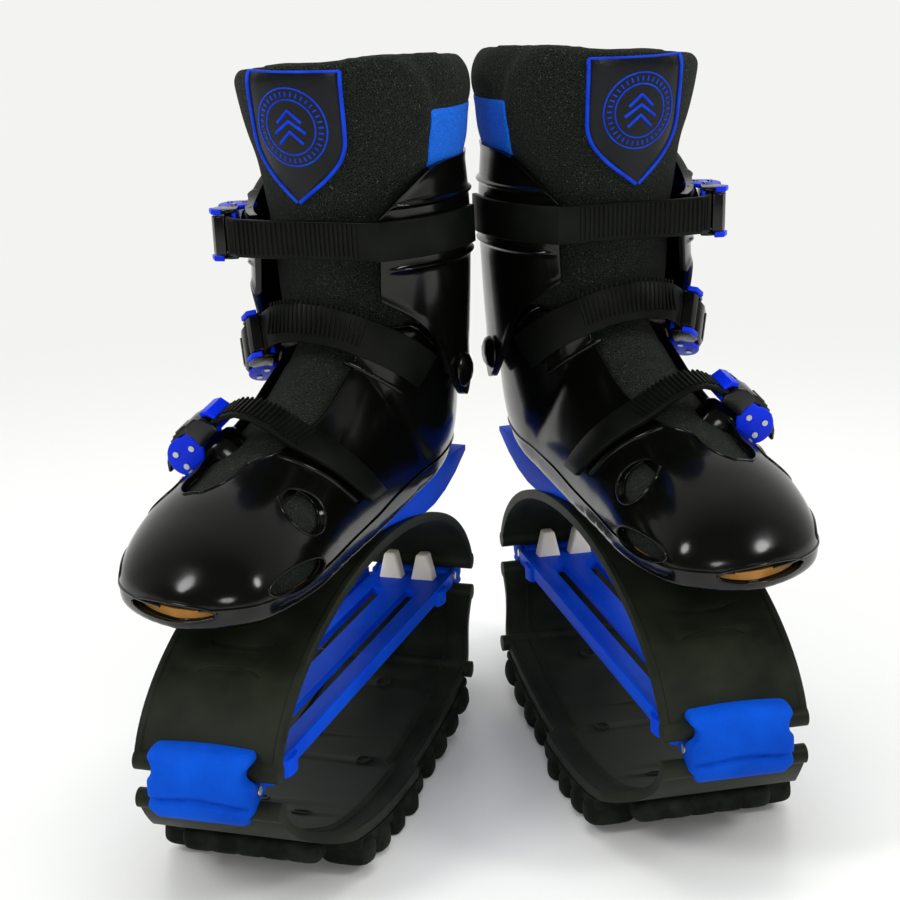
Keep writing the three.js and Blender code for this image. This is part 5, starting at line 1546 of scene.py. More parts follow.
@dataclass
class Buckle:
    """Ratchet buckle: a blue frame with two comma-shaped cheeks, rivets, and a black bowed lever.

    Outlines lie in x along the strap and z out of the boot.
    """

    side: Side
    name: str
    half_width: float = 13.6
    wall: float = 2.4
    pin_along: ClassVar[float] = 5.0
    pin_height: ClassVar[float] = 14.2
    edge_angle: float = 50.0
    plate: Pairs = ((-15, 4.8), (16, 4.8), (16, 7.2), (-15, 7.2))
    plate_half: float = 12.8
    cheek_root: Pairs = ((3.0, 4.8), (4.0, 12.0), (1.0, 15.5))
    cheek_middle: Pair = (-9.0, 6.8)
    cheek_radius: float = 10.8
    cheek_turn: Pair = (1.0, 5.3)
    side_plate: Pairs = (
        (1.0, 4.8), (16.0, 4.8), (16.6, 9.0), (14.4, 15.4), (10.0, 18.4), (4.0, 18.6), (1.0, 16.4))
    clip: Pairs = ((12.8, 15.9), (15.5, 14.8), (17.6, 10.5), (19.0, 10.9), (17.6, 16.6), (13.6, 18.6))
    clip_half: float = 10.5
    tip: Pairs = ((9.0, 17.4), (15.0, 16.4), (17.6, 12.0), (18.8, 12.6), (17.0, 18.0), (10.0, 20.2))
    tip_inner: float = 11.1
    tip_past: float = 0.6
    rivets: Pairs = ((-2.6, 8.0), (-12.0, 11.4), (-12.4, 3.0))
    rivet: Pair = (1.3, 1.7)
    lever: Pairs = (
        (7.4, 12.4), (7.9, 16.0), (6.0, 18.4), (0.0, 19.6), (-8.0, 19.0), (-16.0, 16.0), (-22.0, 11.6),
        (-25.5, 7.4), (-24.0, 6.2), (-19.0, 10.0), (-12.0, 13.4), (-4.0, 15.0), (0.0, 11.4), (4.0, 10.0))
    lever_gap: float = 0.5
    grips: Pairs = ((-6.0, 19.4), (-9.0, 18.7), (-12.0, 17.7), (-15.0, 16.5))
    grip_radius: float = 0.7

    def across_prism(self, name: str, outline: Pairs, low: float, high: float,
                     width: float = 0.8) -> Object:
        """Outline in x and z, drawn out across the strap, with its edges rounded."""
        body = Kit.prism(name, outline, low, high, lambda u, v, w: Vector((u, w, v)))
        return Kit.bevelled(body, width, self.edge_angle, 3)

    def frame_parts(self) -> list[Object]:
        """Base plate, cheeks, strap clip and rivets.

        Returns:
            The parts, in the buckle's millimetres.
        """
        x, z = self.cheek_middle
        reach = self.cheek_radius
        cheek = [*self.cheek_root, *((x + reach * cos(t), z + reach * sin(t))
                                     for t in spread(*self.cheek_turn, 22))]
        parts = [self.across_prism("plate", self.plate, -self.plate_half, self.plate_half, 0.5)]
        blacks = []
        for end in (-1, 1):
            low, high = sorted((end * (self.half_width - self.wall), end * self.half_width))
            parts.append(self.across_prism("cheek", cheek, low, high, 1.0))
            blacks.append(self.across_prism("side_plate", self.side_plate, low, high, 0.8))
        clip = self.across_prism("clip", self.clip, -self.clip_half, self.clip_half, 0.7)
        if self.name == "toe":
            parts.append(clip)
        else:
            blacks.append(clip)
            for end in (-1, 1):
                low, high = sorted((end * self.tip_inner, end * (self.half_width + self.tip_past)))
                parts.append(self.across_prism("tip", self.tip, low, high, 0.7))
        for part in parts:
            set_finish(part, CLIP)
        for part in blacks:
            set_finish(part, LEVER)
        parts += blacks
        rivets = [(Vector((x, end * (self.half_width + 0.1), z)), Vector((0, 1, 0)))
                  for end in (-1, 1) for x, z in self.rivets]
        parts.append(rods_on("rivets", rivets, *self.rivet, STEEL))
        return parts

    def lever_parts(self) -> list[Object]:
        """Bowed lever with its grip lines."""
        half = self.half_width - self.wall - self.lever_gap
        lever = self.across_prism("lever", self.lever, -half, half, 1.0)
        set_finish(lever, LEVER)
        grips = [(Vector((x, 0, z)), Vector((0, 1, 0))) for x, z in self.grips]
        return [lever, rods_on("grips", grips, half * 1.5, self.grip_radius, LEVER)]

    def build(self) -> list[Object]:
        """Makes the frame and the lever.

        Returns:
            The dressed pieces.
        """
        made = []
        place = buckle_place(self.side, self.name)
        for kind, parts in (("frame", self.frame_parts()), ("lever", self.lever_parts())):
            body = Kit.moved(Kit.merged(parts[0], parts[1:]), place)
            Kit.shaded(body, 40.0)
            name = self.side.node(f"{self.name}_buckle_{kind}")
            made.append(stand_for(body, name, None))
        return made


@dataclass
class Shell:
    """Hard lower boot: a smooth thick-walled body with a throat, a toe slot and vents."""

    side: Side
    grid: float = 1.9
    lip: float = 0.8
    lip_angle: float = 50.0
    wall: float = 3.4
    seam: float = 0.8
    strap_lip: float = 1.35
    strap_lip_off: float = 15.5
    throat_half: float = 25.0
    throat_y: Pair = (-108.0, 38.0)
    throat_z: Pair = (33.0, 230.0)
    throat_half_shares: Pairs = (
        (0, 0.2), (0.04, 0.42), (0.12, 0.56), (0.2, 0.55), (0.28, 0.74), (0.55, 0.92), (1, 1))
    # Middle of the throat in millimetres by share of its length
    throat_x: Pairs = ((0, -9.5), (0.2, -8.5), (0.36, -3.5), (1, -3))
    # Each opening: its middle, then half its size along, up and through the wall
    toe_slot: tuple = ((4.0, -156, 10.2), (25, 4.6, 12))
    low_vent: tuple = ((52, -112, 17.0), (25, 6.2, 26))
    high_vent: tuple = ((42, -84, 41.0), (15, 10.5, 12))

    def throat(self) -> Object:
        """Body that cuts the opening over the foot.

        Returns:
            The cutter.
        """
        low, high = self.throat_z
        rings = []
        for share in spread(0, 1, 40):
            half = self.throat_half * curve(self.throat_half_shares, share)
            y = self.throat_y[0] + (self.throat_y[1] - self.throat_y[0]) * share
            x = curve(self.throat_x, share)
            rings.append([Vector((x - half, y, low)), Vector((x + half, y, low)), Vector((x + half, y, high)),
                          Vector((x - half, y, high))])
        return Kit.loft("throat", rings)

    @staticmethod
    def opening(sizes: tuple, way: str, end: int = 1) -> Object:
        """Body that cuts an oval opening through a wall."""
        (x, y, z), (along, up, through) = sizes
        place = Vector((end * x, y, z))
        sides = Vector((1, 0, 0)), Vector((0, 1, 0))
        across, inwards = sides if way == "y" else sides[::-1]
        outline = [(cos(t), sin(t)) for t in turns(40)]
        return Kit.prism("vent", outline, -1, 1, lambda u, v, w: (
            place + across * along * u + UP * up * v + inwards * through * w))

    def body(self) -> Object:
        """Makes the shell in the boot's own millimetres.

        Returns:
            The shell.
        """
        outer = Kit.combined(FORM.foot("shell", 0), [FORM.shaft("shaft", 0)], "UNION")
        Kit.changed(outer, "REMESH", mode="VOXEL", voxel_size=self.grid)
        Kit.changed(outer, "SMOOTH", iterations=16, factor=0.5)
        hollow = FORM.foot("hollow", self.wall), FORM.shaft("hollow_shaft", self.wall, 12)
        cutters = [Kit.combined(hollow[0], hollow[1:], "UNION"), self.throat(),
                   self.opening(self.toe_slot, "y")]
        for end in (-1, 1):
            cutters += [self.opening(self.low_vent, "x", end), self.opening(self.high_vent, "x", end)]
        tree = Kit.search(outer)
        shell = Kit.combined(outer, cutters, "DIFFERENCE")
        set_finish(shell, SHELL)
        shell = lips(shell, self.lip, self.lip_angle, SHELL)
        extras = []
        for name in ("toe", "instep"):
            place = Stance(self.side).boot.inverted() @ buckle_place(self.side, name)
            extras.append(BucklePad(place).build())
            for across in (-self.strap_lip_off, self.strap_lip_off):
                path = self.along_strap(tree, name, across)
                extras.append(Kit.tube("strap_lip", path, self.strap_lip, 10))
        for corner in (27, 0):
            path = [tree.find_nearest(FORM.foot_ring(share, 0, 56)[corner])[0]
                    for share in spread(0.004, 0.99, 120)]
            extras.append(Kit.tube("seam", path, self.seam, 8))
        for extra in extras:
            set_finish(extra, SHELL)
        return Kit.merged(shell, extras)

    def along_strap(self, tree: BVHTree, name: str, across: float) -> list[Vector]:
        """Path on the shell's inner side beside a strap, where a raised lip runs."""
        path = []
        for share in spread(0.56, 0.97, 60):
            start, way = Strap.rays(name, share, across)
            hit = tree.ray_cast(start + way * 150, -way)[0]
            if hit is not None and (not path or (hit - path[-1]).length < 8):
                path.append(hit)
        return path

    def build(self) -> list[Object]:
        """Makes the shell."""
        body = Shared.get("shell", self.body)
        shell = Kit.placed(body, "shell", Stance(self.side).boot)
        Kit.shaded(shell, 42.0)
        return [stand_for(shell, self.side.node("boot_shell"), SHELL)]


@dataclass
class Cuff:
    """Hinged ankle cuff: a thin moulded wrap with a ridge above and below the strap, and rolled hems."""

    side: Side
    half_width: float = 58.6
    half_depth: float = 72.0
    centre_y: float = 66.0
    wall: float = 3.5
    lean: float = 0.1
    lean_start: float = 99.6
    high: float = 201.6
    wing_high: float = 174.6
    wing_low: float = 130.6
    low: float = 71.6
    notch: float = 13.0
    wing_angle: float = 40.0
    ridge_height: float = 1.9
    ridge_width: float = 4.4
    strap_z: float = 163.6
    channel: float = 30.0
    pad_root: float = -2.4
    columns: int = 150
    hem: float = 0.9
    hem_width: float = 2.6
    rows: tuple = (14, 10, 8, 10, 8)
    top_shares: Pairs = ((0, 0), (0.1, 0.45), (0.24, 0.9), (0.45, 1), (1, 1))
    outer_top_shares: Pairs = ((0, 0), (0.12, 0.06), (0.24, 0.2), (0.42, 0.7), (0.6, 1), (1, 1))
    low_shares: Pairs = (
        (0, 1), (0.12, 0.8), (0.22, 0.55), (0.31, 0.2), (0.36, 0.02), (0.43, -0.12), (0.5, -0.02),
        (0.62, 0), (1, 0))
    notch_shares: Pairs = ((0, 0), (0.1, 1), (0.25, 1), (0.36, 0.3), (0.45, 0), (1, 0))

    def at(self, angle: float, z: float, out: float) -> Vector:
        """Point on the cuff at an angle and height."""
        back = self.lean * max(z - self.lean_start, 0)
        return Vector((FORM.centre_x + FORM.lean_at(z) + (self.half_width + out) * sin(angle),
                       self.centre_y - back - (self.half_depth + out) * cos(angle), z))

    def ridge(self, z: float, middle: float) -> float:
        """Height of a ridge about its middle level."""
        off = abs(z - middle) / (self.ridge_width / 2)
        return self.ridge_height * (0.5 + 0.5 * cos(pi * off)) if off < 1 else 0.0

    def body(self) -> Object:
        """Makes the cuff in the boot's own millimetres.

        Returns:
            The cuff.
        """
        wing = radians(self.wing_angle)
        low_ridge = self.strap_z - self.channel / 2 - self.ridge_width / 2
        high_ridge = self.strap_z + self.channel / 2 + self.ridge_width / 2
        outer, inner = [], []
        for i in range(self.columns + 1):
            turn = i / self.columns
            angle = wing + (2 * pi - 2 * wing) * turn
            inwards = 1 - abs(2 * turn - 1)
            shares = self.top_shares if turn < 0.5 else self.outer_top_shares
            top = self.wing_high + (self.high - self.wing_high) * curve(shares, inwards)
            notch = self.notch * curve(self.notch_shares, inwards) if turn > 0.5 else 0
            low = self.low + (self.wing_low - self.low) * curve(self.low_shares, inwards) + notch
            near = min(1.0, max(inwards - 0.02, 0) / 0.08)
            half = self.ridge_width / 2
            marks = [low, low_ridge - half, low_ridge + half, high_ridge - half, high_ridge + half, top]
            marks = [min(max(z, low + 0.5 * k), top - 0.5 * (5 - k)) for k, z in enumerate(marks)]
            levels = [marks[0]]
            for first, last, count in zip(marks, marks[1:], self.rows):
                levels += spread(first, last, count + 1)[1:]
            outs = []
            for z in levels:
                hem = self.hem * sum(exp(-(off / self.hem_width) ** 2) for off in (z - low, top - z))
                outs.append(near * (self.ridge(z, low_ridge) + self.ridge(z, high_ridge)) + hem)
            outer.append([self.at(angle, z, out) for z, out in zip(levels, outs)])
            inner.append([self.at(angle, z, -self.wall) for z in levels])
        cuff = Kit.bevelled(Kit.sheet("cuff", outer, inner), self.hem, 60.0, 3)
        set_finish(cuff, SHELL)
        place = Stance(self.side).boot.inverted() @ buckle_place(self.side, "cuff")
        pad = BucklePad(place, self.pad_root).build()
        set_finish(pad, SHELL)
        return Kit.merged(cuff, [pad])

    def build(self) -> list[Object]:
        """Makes the cuff."""
        cuff = Kit.placed(Shared.get("cuff", self.body), "cuff", Stance(self.side).boot)
        Kit.shaded(cuff, 42.0)
        return [stand_for(cuff, self.side.node("cuff"), SHELL)]


@dataclass
class InnerBoot:
    """Padded inner boot of spacer mesh: a sock with a wrapped front panel, a blue rear panel and a badge."""

    side: Side
    grid: float = 3.75
    swell: float = 4.0
    panel_from: float = -3.3
    panel_depth: float = 3.6
    badge_half: float = 27.2
    badge_high: float = 69.0
    badge_top: float = 251.5
    badge_x: float = 4.2
    badge_skew: float = 4.5
    badge_shares: Pairs = ((0, 1), (0.5, 1), (0.6, 0.96), (0.7, 0.84), (0.82, 0.58), (0.92, 0.28), (1, 0.03))
    piping: float = 1.15
    panel_below: float = 0.5
    proud_shares: Pairs = ((0, 0.05), (0.42, 0.1), (0.62, 0.45), (0.75, 1), (1, 1))
    rear_low: float = 170.0
    rear_high: float = 229.0
    # How far the padding may swell, in millimetres, by share of the leg's height
    room_up: ClassVar[Pairs] = ((0, 0.5), (0.45, 0.7), (0.66, 1.0), (0.8, 3.2), (1, 3.6))
    room_foot: ClassVar[float] = 0.4
    room_throat: ClassVar[float] = 1.6
    motif: Pair = (-1.5, 28.5)
    rings: Pair = (20.5, 14.5)
    dash_ring: Pair = (16.2, 18.8)
    dashes: int = 36
    chevrons: Pairs = ((5.5, 7.0), (0.0, 9.0), (-5.5, 7.0))
    chevron_rise: Pair = (3.4, 6.4)

    def sock(self) -> Object:
        """Closed padded body: foot, ankle and leg with a wall all round.

        Returns:
            The body.
        """
        base = FORM.wall + FORM.gap
        outer = Kit.combined(
            FORM.foot("liner", base + 0.3, 40, 40),
            [FORM.shaft("liner_shaft", base + 0.3, 8), FORM.leg("liner_leg", 2.2, rolled=True),
             self.front_panel()], "UNION")
        cavity = Kit.combined(
            FORM.foot("cavity", base + 4, 32, 32),
            [FORM.shaft("cavity_shaft", base + 5, 8), FORM.leg("cavity_leg", 9.4, 14)], "UNION")
        Kit.combined(outer, [cavity], "DIFFERENCE")
        return Kit.changed(outer, "REMESH", mode="VOXEL", voxel_size=self.grid)

    def front_panel(self) -> Object:
        """Panel that wraps over the front of the leg from the outer side, a little proud of it."""
        outer, inner = [], []
        for share in spread(0.02, 1, 36):
            proud = self.panel_depth * curve(self.proud_shares, share) - FORM.tuck(share)
            last = FORM.panel_edge(FORM.leg_z(share, self.panel_below))
            for rows, out in ((outer, proud - 2.2), (inner, -7.0)):
                rows.append([FORM.leg_point(t, share, out, self.panel_below)
                             for t in spread(self.panel_from, last, 48)])
        return Kit.sheet("front_panel", outer, inner)

    @classmethod
    def room(cls, point: Vector) -> float:
        """How far the padding may swell at a point, in millimetres."""
        if point.z < FORM.shaft_high:
            throat = abs(point.x) < 24 and -80 < point.y < 34 and point.z > 30
            return cls.room_throat if throat else cls.room_foot
        return curve(cls.room_up, (point.z - FORM.shaft_high) / (FORM.liner_high - FORM.shaft_high))

    def puffed(self, obj: Object) -> Object:
        """Swells the padding by a cloth simulation, and keeps each point within its room.

        Args:
            obj: The object.

        Returns:
            The same object.
        """
        obj.data.transform(Matrix.Scale(MM, 4))
        start = [v.co.copy() for v in obj.data.vertices]
        cloth = obj.modifiers.new("padding", "CLOTH")
        cloth.settings.use_pressure = True
        cloth.settings.uniform_pressure_force = self.swell
        cloth.settings.quality = 4
        cloth.settings.effector_weights.gravity = 0
        cloth.collision_settings.use_collision = False
        cloth.point_cache.frame_start, cloth.point_cache.frame_end = 1, 20
        scene = bpy.context.scene
        for step in range(1, 21):
            scene.frame_set(step)
        graph = bpy.context.evaluated_depsgraph_get()
        swollen = obj.evaluated_get(graph).to_mesh()
        moved = [v.co.copy() for v in swollen.vertices]
        obj.evaluated_get(graph).to_mesh_clear()
        obj.modifiers.clear()
        scene.frame_set(1)
        for vertex, before, after in zip(obj.data.vertices, start, moved):
            shift = after - before
            limit = self.room(before / MM) * MM
            if shift.length > limit:
                shift *= limit / shift.length
            vertex.co = before + shift
        obj.data.transform(Matrix.Scale(1 / MM, 4))
        return obj

    def padded_body(self) -> Object:
        """The padded body in the boot's own millimetres."""
        liner = Kit.changed(self.sock(), "SMOOTH", iterations=2, factor=0.5)
        liner = self.puffed(liner)
        return Kit.changed(liner, "SUBSURF", levels=1, render_levels=1)

    def surface(self) -> BVHTree:
        """Search tree of the padded body."""
        return Kit.search(Shared.get("liner", self.padded_body))

    @staticmethod
    def around(tree: BVHTree, angle: float, z: float, out: float) -> Vector:
        """Point off the leg's outer surface at an angle and height."""
        way = Vector((cos(angle), sin(angle), 0))
        axis = Vector((FORM.centre_x + FORM.lean_at(z), (FORM.liner_front + FORM.liner_rear) / 2, z))
        hit = tree.ray_cast(axis + way * 120, -way)[0]
        return hit + way * out

    @staticmethod
    def ahead(tree: BVHTree, x: float, z: float, out: float) -> Vector:
        """Point in front of the leg at a place across and a height."""
        hit = tree.ray_cast(Vector((x, -90, z)), Vector((0, 1, 0)))[0]
        return hit + Vector((0, -out, 0))

    def rear_panel(self) -> Object:
        """Blue stretch panel round the back of the leg, below the collar.

        Returns:
            The panel.
        """
        tree = self.surface()
        outer, inner = [], []
        for share in spread(0, 1, 22):
            z = self.rear_low + (self.rear_high - self.rear_low) * share
            edge = 0.9 * sin(pi * share) ** 0.25
            angles = spread(FORM.panel_edge(z) + 0.02, 2 * pi + self.panel_from + 0.02, 64)
            outer.append([self.around(tree, t, z, 0.5 + edge) for t in angles])
            inner.append([self.around(tree, t, z, -1.2) for t in angles])
        panel = Kit.sheet("rear_panel", outer, inner)
        return Kit.changed(panel, "SUBSURF", levels=1, render_levels=1)

    def badge_at(self, tree: BVHTree, across: float, share: float, out: float) -> Vector:
        """Point of the badge, off the front of the leg."""
        half = self.badge_half * curve(self.badge_shares, share)
        x = self.badge_x - self.badge_skew * share ** 3 + half * across
        return self.ahead(tree, x, self.badge_top - self.badge_high * share, out)

    def badge(self) -> Object:
        """Shield-shaped leather badge: its skin, blue piping and a plain raised motif.

        Returns:
            The badge.
        """
        tree = self.surface()
        outer, inner = [], []
        for share in [0.5 - 0.5 * cos(pi * v) for v in spread(0, 1, 34)]:
            columns = spread(-1, 1, 24)
            outer.append([self.badge_at(tree, v, share, 0.5 + 0.8 * (1 - abs(v) ** 8)) for v in columns])
            inner.append([self.badge_at(tree, v, share, -1.0) for v in columns])
        skin = Kit.sheet("badge", outer, inner)
        set_finish(skin, BADGE)
        down = spread(0, 1, 44)
        parts = [Kit.tube("piping", [self.badge_at(tree, end, v, 0.9) for v in down], self.piping)
                 for end in (-1, 1)]
        top = [self.badge_at(tree, v, 0, 0.7) for v in spread(-1, 1, 24)]
        parts.append(Kit.tube("piping_top", top, self.piping * 0.7))
        for part in parts:
            set_finish(part, PIPING)
        return Kit.merged(skin, parts + self.badge_motif(tree))

    def badge_motif(self, tree: BVHTree) -> list[Object]:
        """Plain raised motif of the badge: two rings, dashes between them and three chevrons.

        Args:
            tree: Search tree of the padded body.

        Returns:
            The motif's lines.
        """
        middle, centre = self.badge_x + self.motif[0], self.badge_top - self.motif[1]

        def polar(radius: float, turn: float) -> Vector:
            """Point of the motif at a distance and a turn about its centre."""
            return self.ahead(tree, middle + radius * cos(turn), centre + radius * sin(turn), 1.2)

        parts = [Kit.tube("ring", [polar(radius, t) for t in spread(0, 2 * pi, 61)], 0.5, 8)
                 for radius in self.rings]
        peak, fall = self.chevron_rise
        for rise, half in self.chevrons:
            path = [self.ahead(tree, middle + half * v, centre + rise + peak - fall * abs(v), 1.2)
                    for v in spread(-1, 1, 25)]
            parts.append(Kit.tube("chevron", path, 0.95, 8))
        for part in parts:
            set_finish(part, PIPING)
        dashes = []
        inner, outer = self.dash_ring
        for t in turns(self.dashes):
            low, high = polar(inner, t), polar(outer, t)
            dashes.append(((low + high) / 2, (high - low).normalized()))
        return [*parts, rods_on("dashes", dashes, outer - inner, 0.5, PIPING)]

    def place(self, name: str, body: Object, finish: Finish | None) -> Object:
        """Puts a shared body on this side."""
        obj = Kit.placed(body, self.side.node(name), Stance(self.side).boot)
        Kit.shaded(obj, 60.0)
        if finish is not None:
            set_finish(obj, finish)
        return obj

    def bends(self, obj: Object) -> None:
        """Bakes a piece's place into its mesh."""
        self.side.node("boot")
        self.side.node("cuff")
        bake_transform(obj)

    def build(self) -> list[Object]:
        """Makes the inner boot.

        Returns:
            The dressed pieces.
        """
        liner = self.place("liner_padded", Shared.get("liner", self.padded_body), MESH)
        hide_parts(self.side.node("liner"), self.side.node("tongue"))
        panel = self.place("rear_panel", Shared.get("rear_panel", self.rear_panel), PANEL)
        badge = self.place("badge_dressed", Shared.get("badge", self.badge), None)
        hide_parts(self.side.node("badge"))
        for obj in (liner, panel, badge):
            self.bends(obj)
        return [liner, panel, badge]


@dataclass
class Strap:
    """One ladder strap: the moulded strap and the ribs along its outer part."""

    side: Side
    name: str
    first: float = 0.0
    last: float = 0.5
    pitch: float = 2.65
    rib_radius: float = 0.8
    rib_length: float = 18.0
    rib_end: float = 7.0
    # Angles about the boot, in degrees, between which each strap runs
    sweeps: ClassVar[dict[str, Pair]] = {
        "toe": (-55.0, 104.0), "instep": (-56.0, 84.0), "cuff": (-54.0, 104.0)}
    toe_y: ClassVar[float] = -50.0
    toe_z: ClassVar[float] = 39.6
    toe_swerve: ClassVar[float] = 36.0
    instep_y: ClassVar[float] = 50.0
    instep_z: ClassVar[float] = 81.6
    instep_slope: ClassVar[float] = 42.0

    @classmethod
    def rays(cls, name: str, share: float, across: float) -> tuple[Vector, Vector]:
        """Start and direction of the line that meets a strap at a share of its length.

        Args:
            name: toe, instep or cuff.
            share: Share of the strap's length.
            across: How far from its middle.

        Returns:
            The ray's start and its direction.
        """
        first, last = cls.sweeps[name]
        turn = radians(first + (last - first) * share)
        if name == "toe":
            y = cls.toe_y + cls.toe_swerve * max(2 * share - 1, 0) ** 2 + across
            return Vector((0, y, cls.toe_z)), Vector((sin(turn), 0, cos(turn)))
        if name == "instep":
            slope = radians(cls.instep_slope)
            c, s = cos(slope), sin(slope)
            return (Vector((FORM.centre_x, cls.instep_y + across * s, cls.instep_z + across * c)),
                    Vector((sin(turn), -cos(turn) * c, cos(turn) * s)))
        z = Cuff.strap_z + across
        y = Cuff.centre_y - Cuff.lean * (z - Cuff.lean_start)
        return (Vector((FORM.centre_x + FORM.lean_at(z), y, z)),
                Vector((sin(turn), -cos(turn), 0)))

    def stations(self, strap: Object) -> list[tuple[Vector, Vector]]:
        """Middle point and direction across the strap at each rib.

        Args:
            strap: The strap's piece.

        Returns:
            Each rib's place and direction.
        """
        tree = Kit.search(strap)
        boot = Stance(self.side).boot
        turned = boot.to_3x3()

        def hit(share: float, across: float) -> Vector | None:
            """Where a line from outside meets the strap."""
            start, way = self.rays(self.name, share, across)
            outside = boot @ (start + way * 150)
            inwards = -(turned @ way).normalized()
            return tree.ray_cast(outside, inwards)[0]

        made = []
        before = None
        run = 0.0
        for share in spread(self.first, self.last, 600):
            middle, low, high = hit(share, 0), hit(share, -self.rib_end), hit(share, self.rib_end)
            if middle is None or low is None or high is None:
                continue
            if before is not None:
                run += (middle - before).length
            before = middle
            if run >= self.pitch * MM or not made:
                made.append((middle, (high - low).normalized()))
                run = 0.0
        return made

    def build(self) -> list[Object]:
        """Makes the strap with its ribs.

        Returns:
            The dressed pieces.
        """
        name = self.side.node(f"{self.name}_strap")
        strap = edged_copy(name, STRAP, 0.5)
        stations = self.stations(strap)
        log.info("%s: %d ribs", name, len(stations))
        if stations:
            ribs = rods_on("ribs", stations, self.rib_length * MM, self.rib_radius * MM, STRAP)
            Kit.merged(strap, [ribs])
            Kit.shaded(strap)
        return [strap]


@dataclass
class Boot:
    """The hard boot, its cuff, inner boot, straps and buckles of one shoe."""

    side: Side
    board_inset: float = 3.7
    board_low: float = 5.0
    board_high: float = 10.6
    board_front: float = -155.5
    # Shares of each strap's length between which its ribs run
    ribbed: dict[str, Pair] = field(default_factory=lambda: {
        "toe": (0.1, 0.6), "instep": (0.1, 0.62), "cuff": (0.1, 0.5)})

    def board(self) -> Object:
        """Tan sole board, whose front edge shows in the toe slot."""
        front = self.board_front
        slab = Kit.prism("slab", [(-80, front), (80, front), (80, 150), (-80, 150)], self.board_low,
                             self.board_high, lambda u, v, w: Vector((u, v, w)))
        return Kit.combined(FORM.foot("board", self.board_inset, 40, 60), [slab], "INTERSECT")

    def build(self) -> list[Object]:
        """Dresses every piece of the boot."""
        made = Shell(self.side).build() + Cuff(self.side).build() + InnerBoot(self.side).build()
        board = Kit.placed(Shared.get("board", self.board), "board", Stance(self.side).boot)
        Kit.shaded(board)
        made.append(stand_for(board, self.side.node("insole"), BOARD))
        for name, (first, last) in self.ribbed.items():
            made += Strap(self.side, name, first, last).build()
            made += Buckle(self.side, name).build()
        return made + [edged_copy(self.side.node(f"ankle_rivet_{end}"), SHELL) for end in ("inner", "outer")]


# Camera, floor and light


@dataclass
class PhotoCamera:
    """Camera at the photograph's place: a little above the boots, looking down at them."""

    lens: float = 76.0
    sensor: float = 36.0
    pitch: float = 15.43
    roll: float = -0.030
    from_pins: Triple = (-0.00806, -0.86186, 0.4717)

    def build(self) -> Object:
        """Makes the camera and sets it as the scene's.

        Returns:
            The camera.
        """
        pins = [middle_of(side.node("front_pin")) for side in Side]
        middle = (pins[0] + pins[1]) / 2
        data = bpy.data.cameras.new("photo_camera")
        data.sensor_width = self.sensor
        data.lens = self.lens
        data.clip_end = 50.0
        camera = shown("photo_camera", data)
        down = radians(self.pitch)
        forward = Vector((0, cos(down), -sin(down)))
        right = forward.cross(UP).normalized()
        up = right.cross(forward)
        c, s = cos(self.roll), sin(self.roll)
        turned_right = right * c + up * s
        turned_up = up * c - right * s
        basis = Matrix((turned_right, turned_up, -forward)).transposed().to_4x4()
        place = Vector((middle.x, middle.y, 0)) + Vector(self.from_pins)
        camera.matrix_world = Matrix.Translation(place) @ basis
        bpy.context.scene.camera = camera
        log.info("camera at %s", tuple(round(v, 4) for v in place))
        return camera


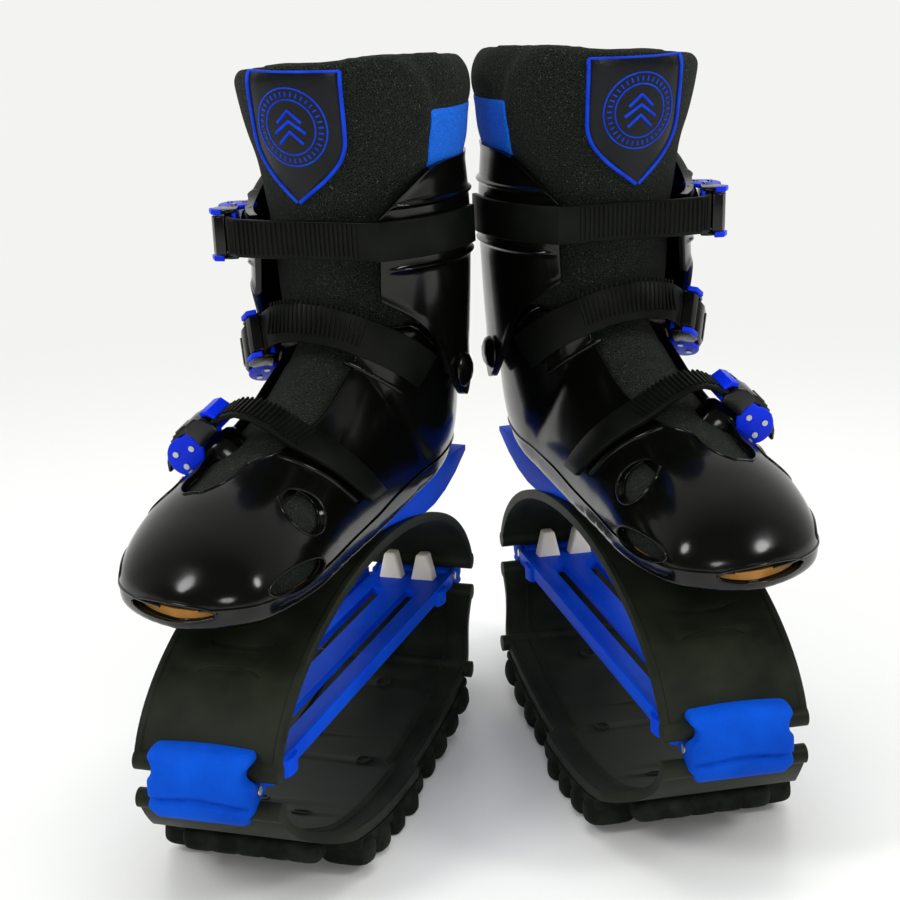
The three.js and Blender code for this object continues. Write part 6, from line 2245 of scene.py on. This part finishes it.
@dataclass
class Studio:
    """Pale floor, white surroundings and large soft lamps."""

    floor_tone: str = "#f3f4f1"
    fill: float = 0.8
    reach: float = 6.0
    floor_drop: float = 0.4
    # Metres from the middle between which the floor fades into the white behind it
    fade: Pair = (0.45, 1.3)
    middle: Triple = (0.0, 0.0, 0.2)

    def floor(self) -> Object:
        """Makes the floor, which keeps the shoes' shadows.

        Returns:
            The floor, a hair below the treads.
        """
        far = self.reach
        corners = [(-far, -far, 0), (far, -far, 0), (far, far, 0), (-far, far, 0)]
        obj = Kit.add("studio_floor", corners, [(0, 1, 2, 3)])
        obj.location.z = -self.floor_drop * MM
        material = bpy.data.materials.new("floor_painted_board")
        material.use_nodes = True
        tree = material.node_tree
        shader = tree.nodes["Principled BSDF"]
        feed(tree, shader, {
            "Base Color": colour(self.floor_tone), "Roughness": 0.4, "Specular IOR Level": 0.3})
        spot = node(tree, "ShaderNodeTexCoord").outputs["Object"]
        away = node(tree, "ShaderNodeVectorMath", {0: spot}, operation="LENGTH").outputs["Value"]
        fade = node(tree, "ShaderNodeMapRange",
                    {"Value": away, "From Min": self.fade[0], "From Max": self.fade[1]})
        seen = node(tree, "ShaderNodeLightPath").outputs["Is Camera Ray"]
        share = node(tree, "ShaderNodeMath", {0: fade.outputs[0], 1: seen}, operation="MULTIPLY")
        white = node(tree, "ShaderNodeEmission", {"Color": colour(self.floor_tone), "Strength": 1.0})
        mixed = node(tree, "ShaderNodeMixShader",
                     {0: share.outputs[0], 1: shader.outputs[0], 2: white.outputs[0]})
        feed(tree, tree.nodes["Material Output"], {"Surface": mixed.outputs[0]})
        obj.data.materials.append(material)
        return obj

    def world(self) -> None:
        """White for camera and transmission rays, white that dims towards the front for mirror rays, and a
        plain fill for the rest.
        """
        world = bpy.data.worlds.new("studio")
        bpy.context.scene.world = world
        world.use_nodes = True
        tree = world.node_tree
        tree.nodes.clear()
        path = node(tree, "ShaderNodeLightPath")
        seen = node(tree, "ShaderNodeMath", {
            0: path.outputs["Is Camera Ray"], 1: path.outputs["Is Transmission Ray"]}, operation="MAXIMUM")
        coordinates = node(tree, "ShaderNodeTexCoord")
        split = node(tree, "ShaderNodeSeparateXYZ", {0: coordinates.outputs["Generated"]})
        behind = node(tree, "ShaderNodeMapRange", {
            "Value": split.outputs["Y"], "From Min": -0.2, "From Max": 0.9, "To Min": 0.12, "To Max": 1.0})
        tone = colour(self.floor_tone)
        white = node(tree, "ShaderNodeBackground", {"Color": tone, "Strength": 1.0})
        mirrored = node(tree, "ShaderNodeBackground", {"Color": tone, "Strength": behind.outputs[0]})
        fill = node(tree, "ShaderNodeBackground", {"Color": colour("#ffffff"), "Strength": self.fill})
        first = node(tree, "ShaderNodeMixShader",
                     {0: path.outputs["Is Glossy Ray"], 1: fill.outputs[0], 2: mirrored.outputs[0]})
        last = node(tree, "ShaderNodeMixShader",
                    {0: seen.outputs[0], 1: first.outputs[0], 2: white.outputs[0]})
        node(tree, "ShaderNodeOutputWorld", {"Surface": last.outputs[0]})

    def lamp(self, name: str, place: Sequence[float], size: Pair, power: float,
             mirrored: bool = True) -> None:
        """Adds one soft lamp that faces the shoes."""
        data = bpy.data.lights.new(name, "AREA")
        data.shape = "ELLIPSE"
        data.size, data.size_y = size
        data.energy = power
        obj = shown(name, data)
        obj.visible_glossy = mirrored
        obj.location = place
        obj.rotation_euler = (Vector(self.middle) - Vector(place)).to_track_quat("-Z", "Y").to_euler()

    def build(self) -> None:
        """Makes the floor, the surroundings and the lamps."""
        bpy.context.scene.view_settings.view_transform = "Standard"
        self.floor()
        self.world()
        self.lamp("window_left", (-1.3, -0.9, 1.5), (0.5, 0.7), 12.0)
        self.lamp("window_right", (1.5, -0.7, 1.3), (0.4, 0.6), 10.0)
        self.lamp("front", (0.1, -2.4, 0.75), (0.7, 0.5), 8.0)
        self.lamp("ceiling", (0.0, 0.2, 2.1), (1.4, 0.9), 11.0, mirrored=False)


def main() -> None:
    """Builds both shoes, the camera and the studio, and logs each piece's face count."""
    logging.basicConfig(level=logging.INFO, format="%(message)s")
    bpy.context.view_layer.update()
    PhotoCamera().build()
    Studio().build()
    for side in Side:
        for assembly in (Suspension(side), Boot(side)):
            for piece in assembly.build():
                log.info("%s: %d faces", piece.name, len(piece.data.polygons))
    Shared.clear()
    bpy.context.view_layer.update()


if __name__ == "__main__":
    main()
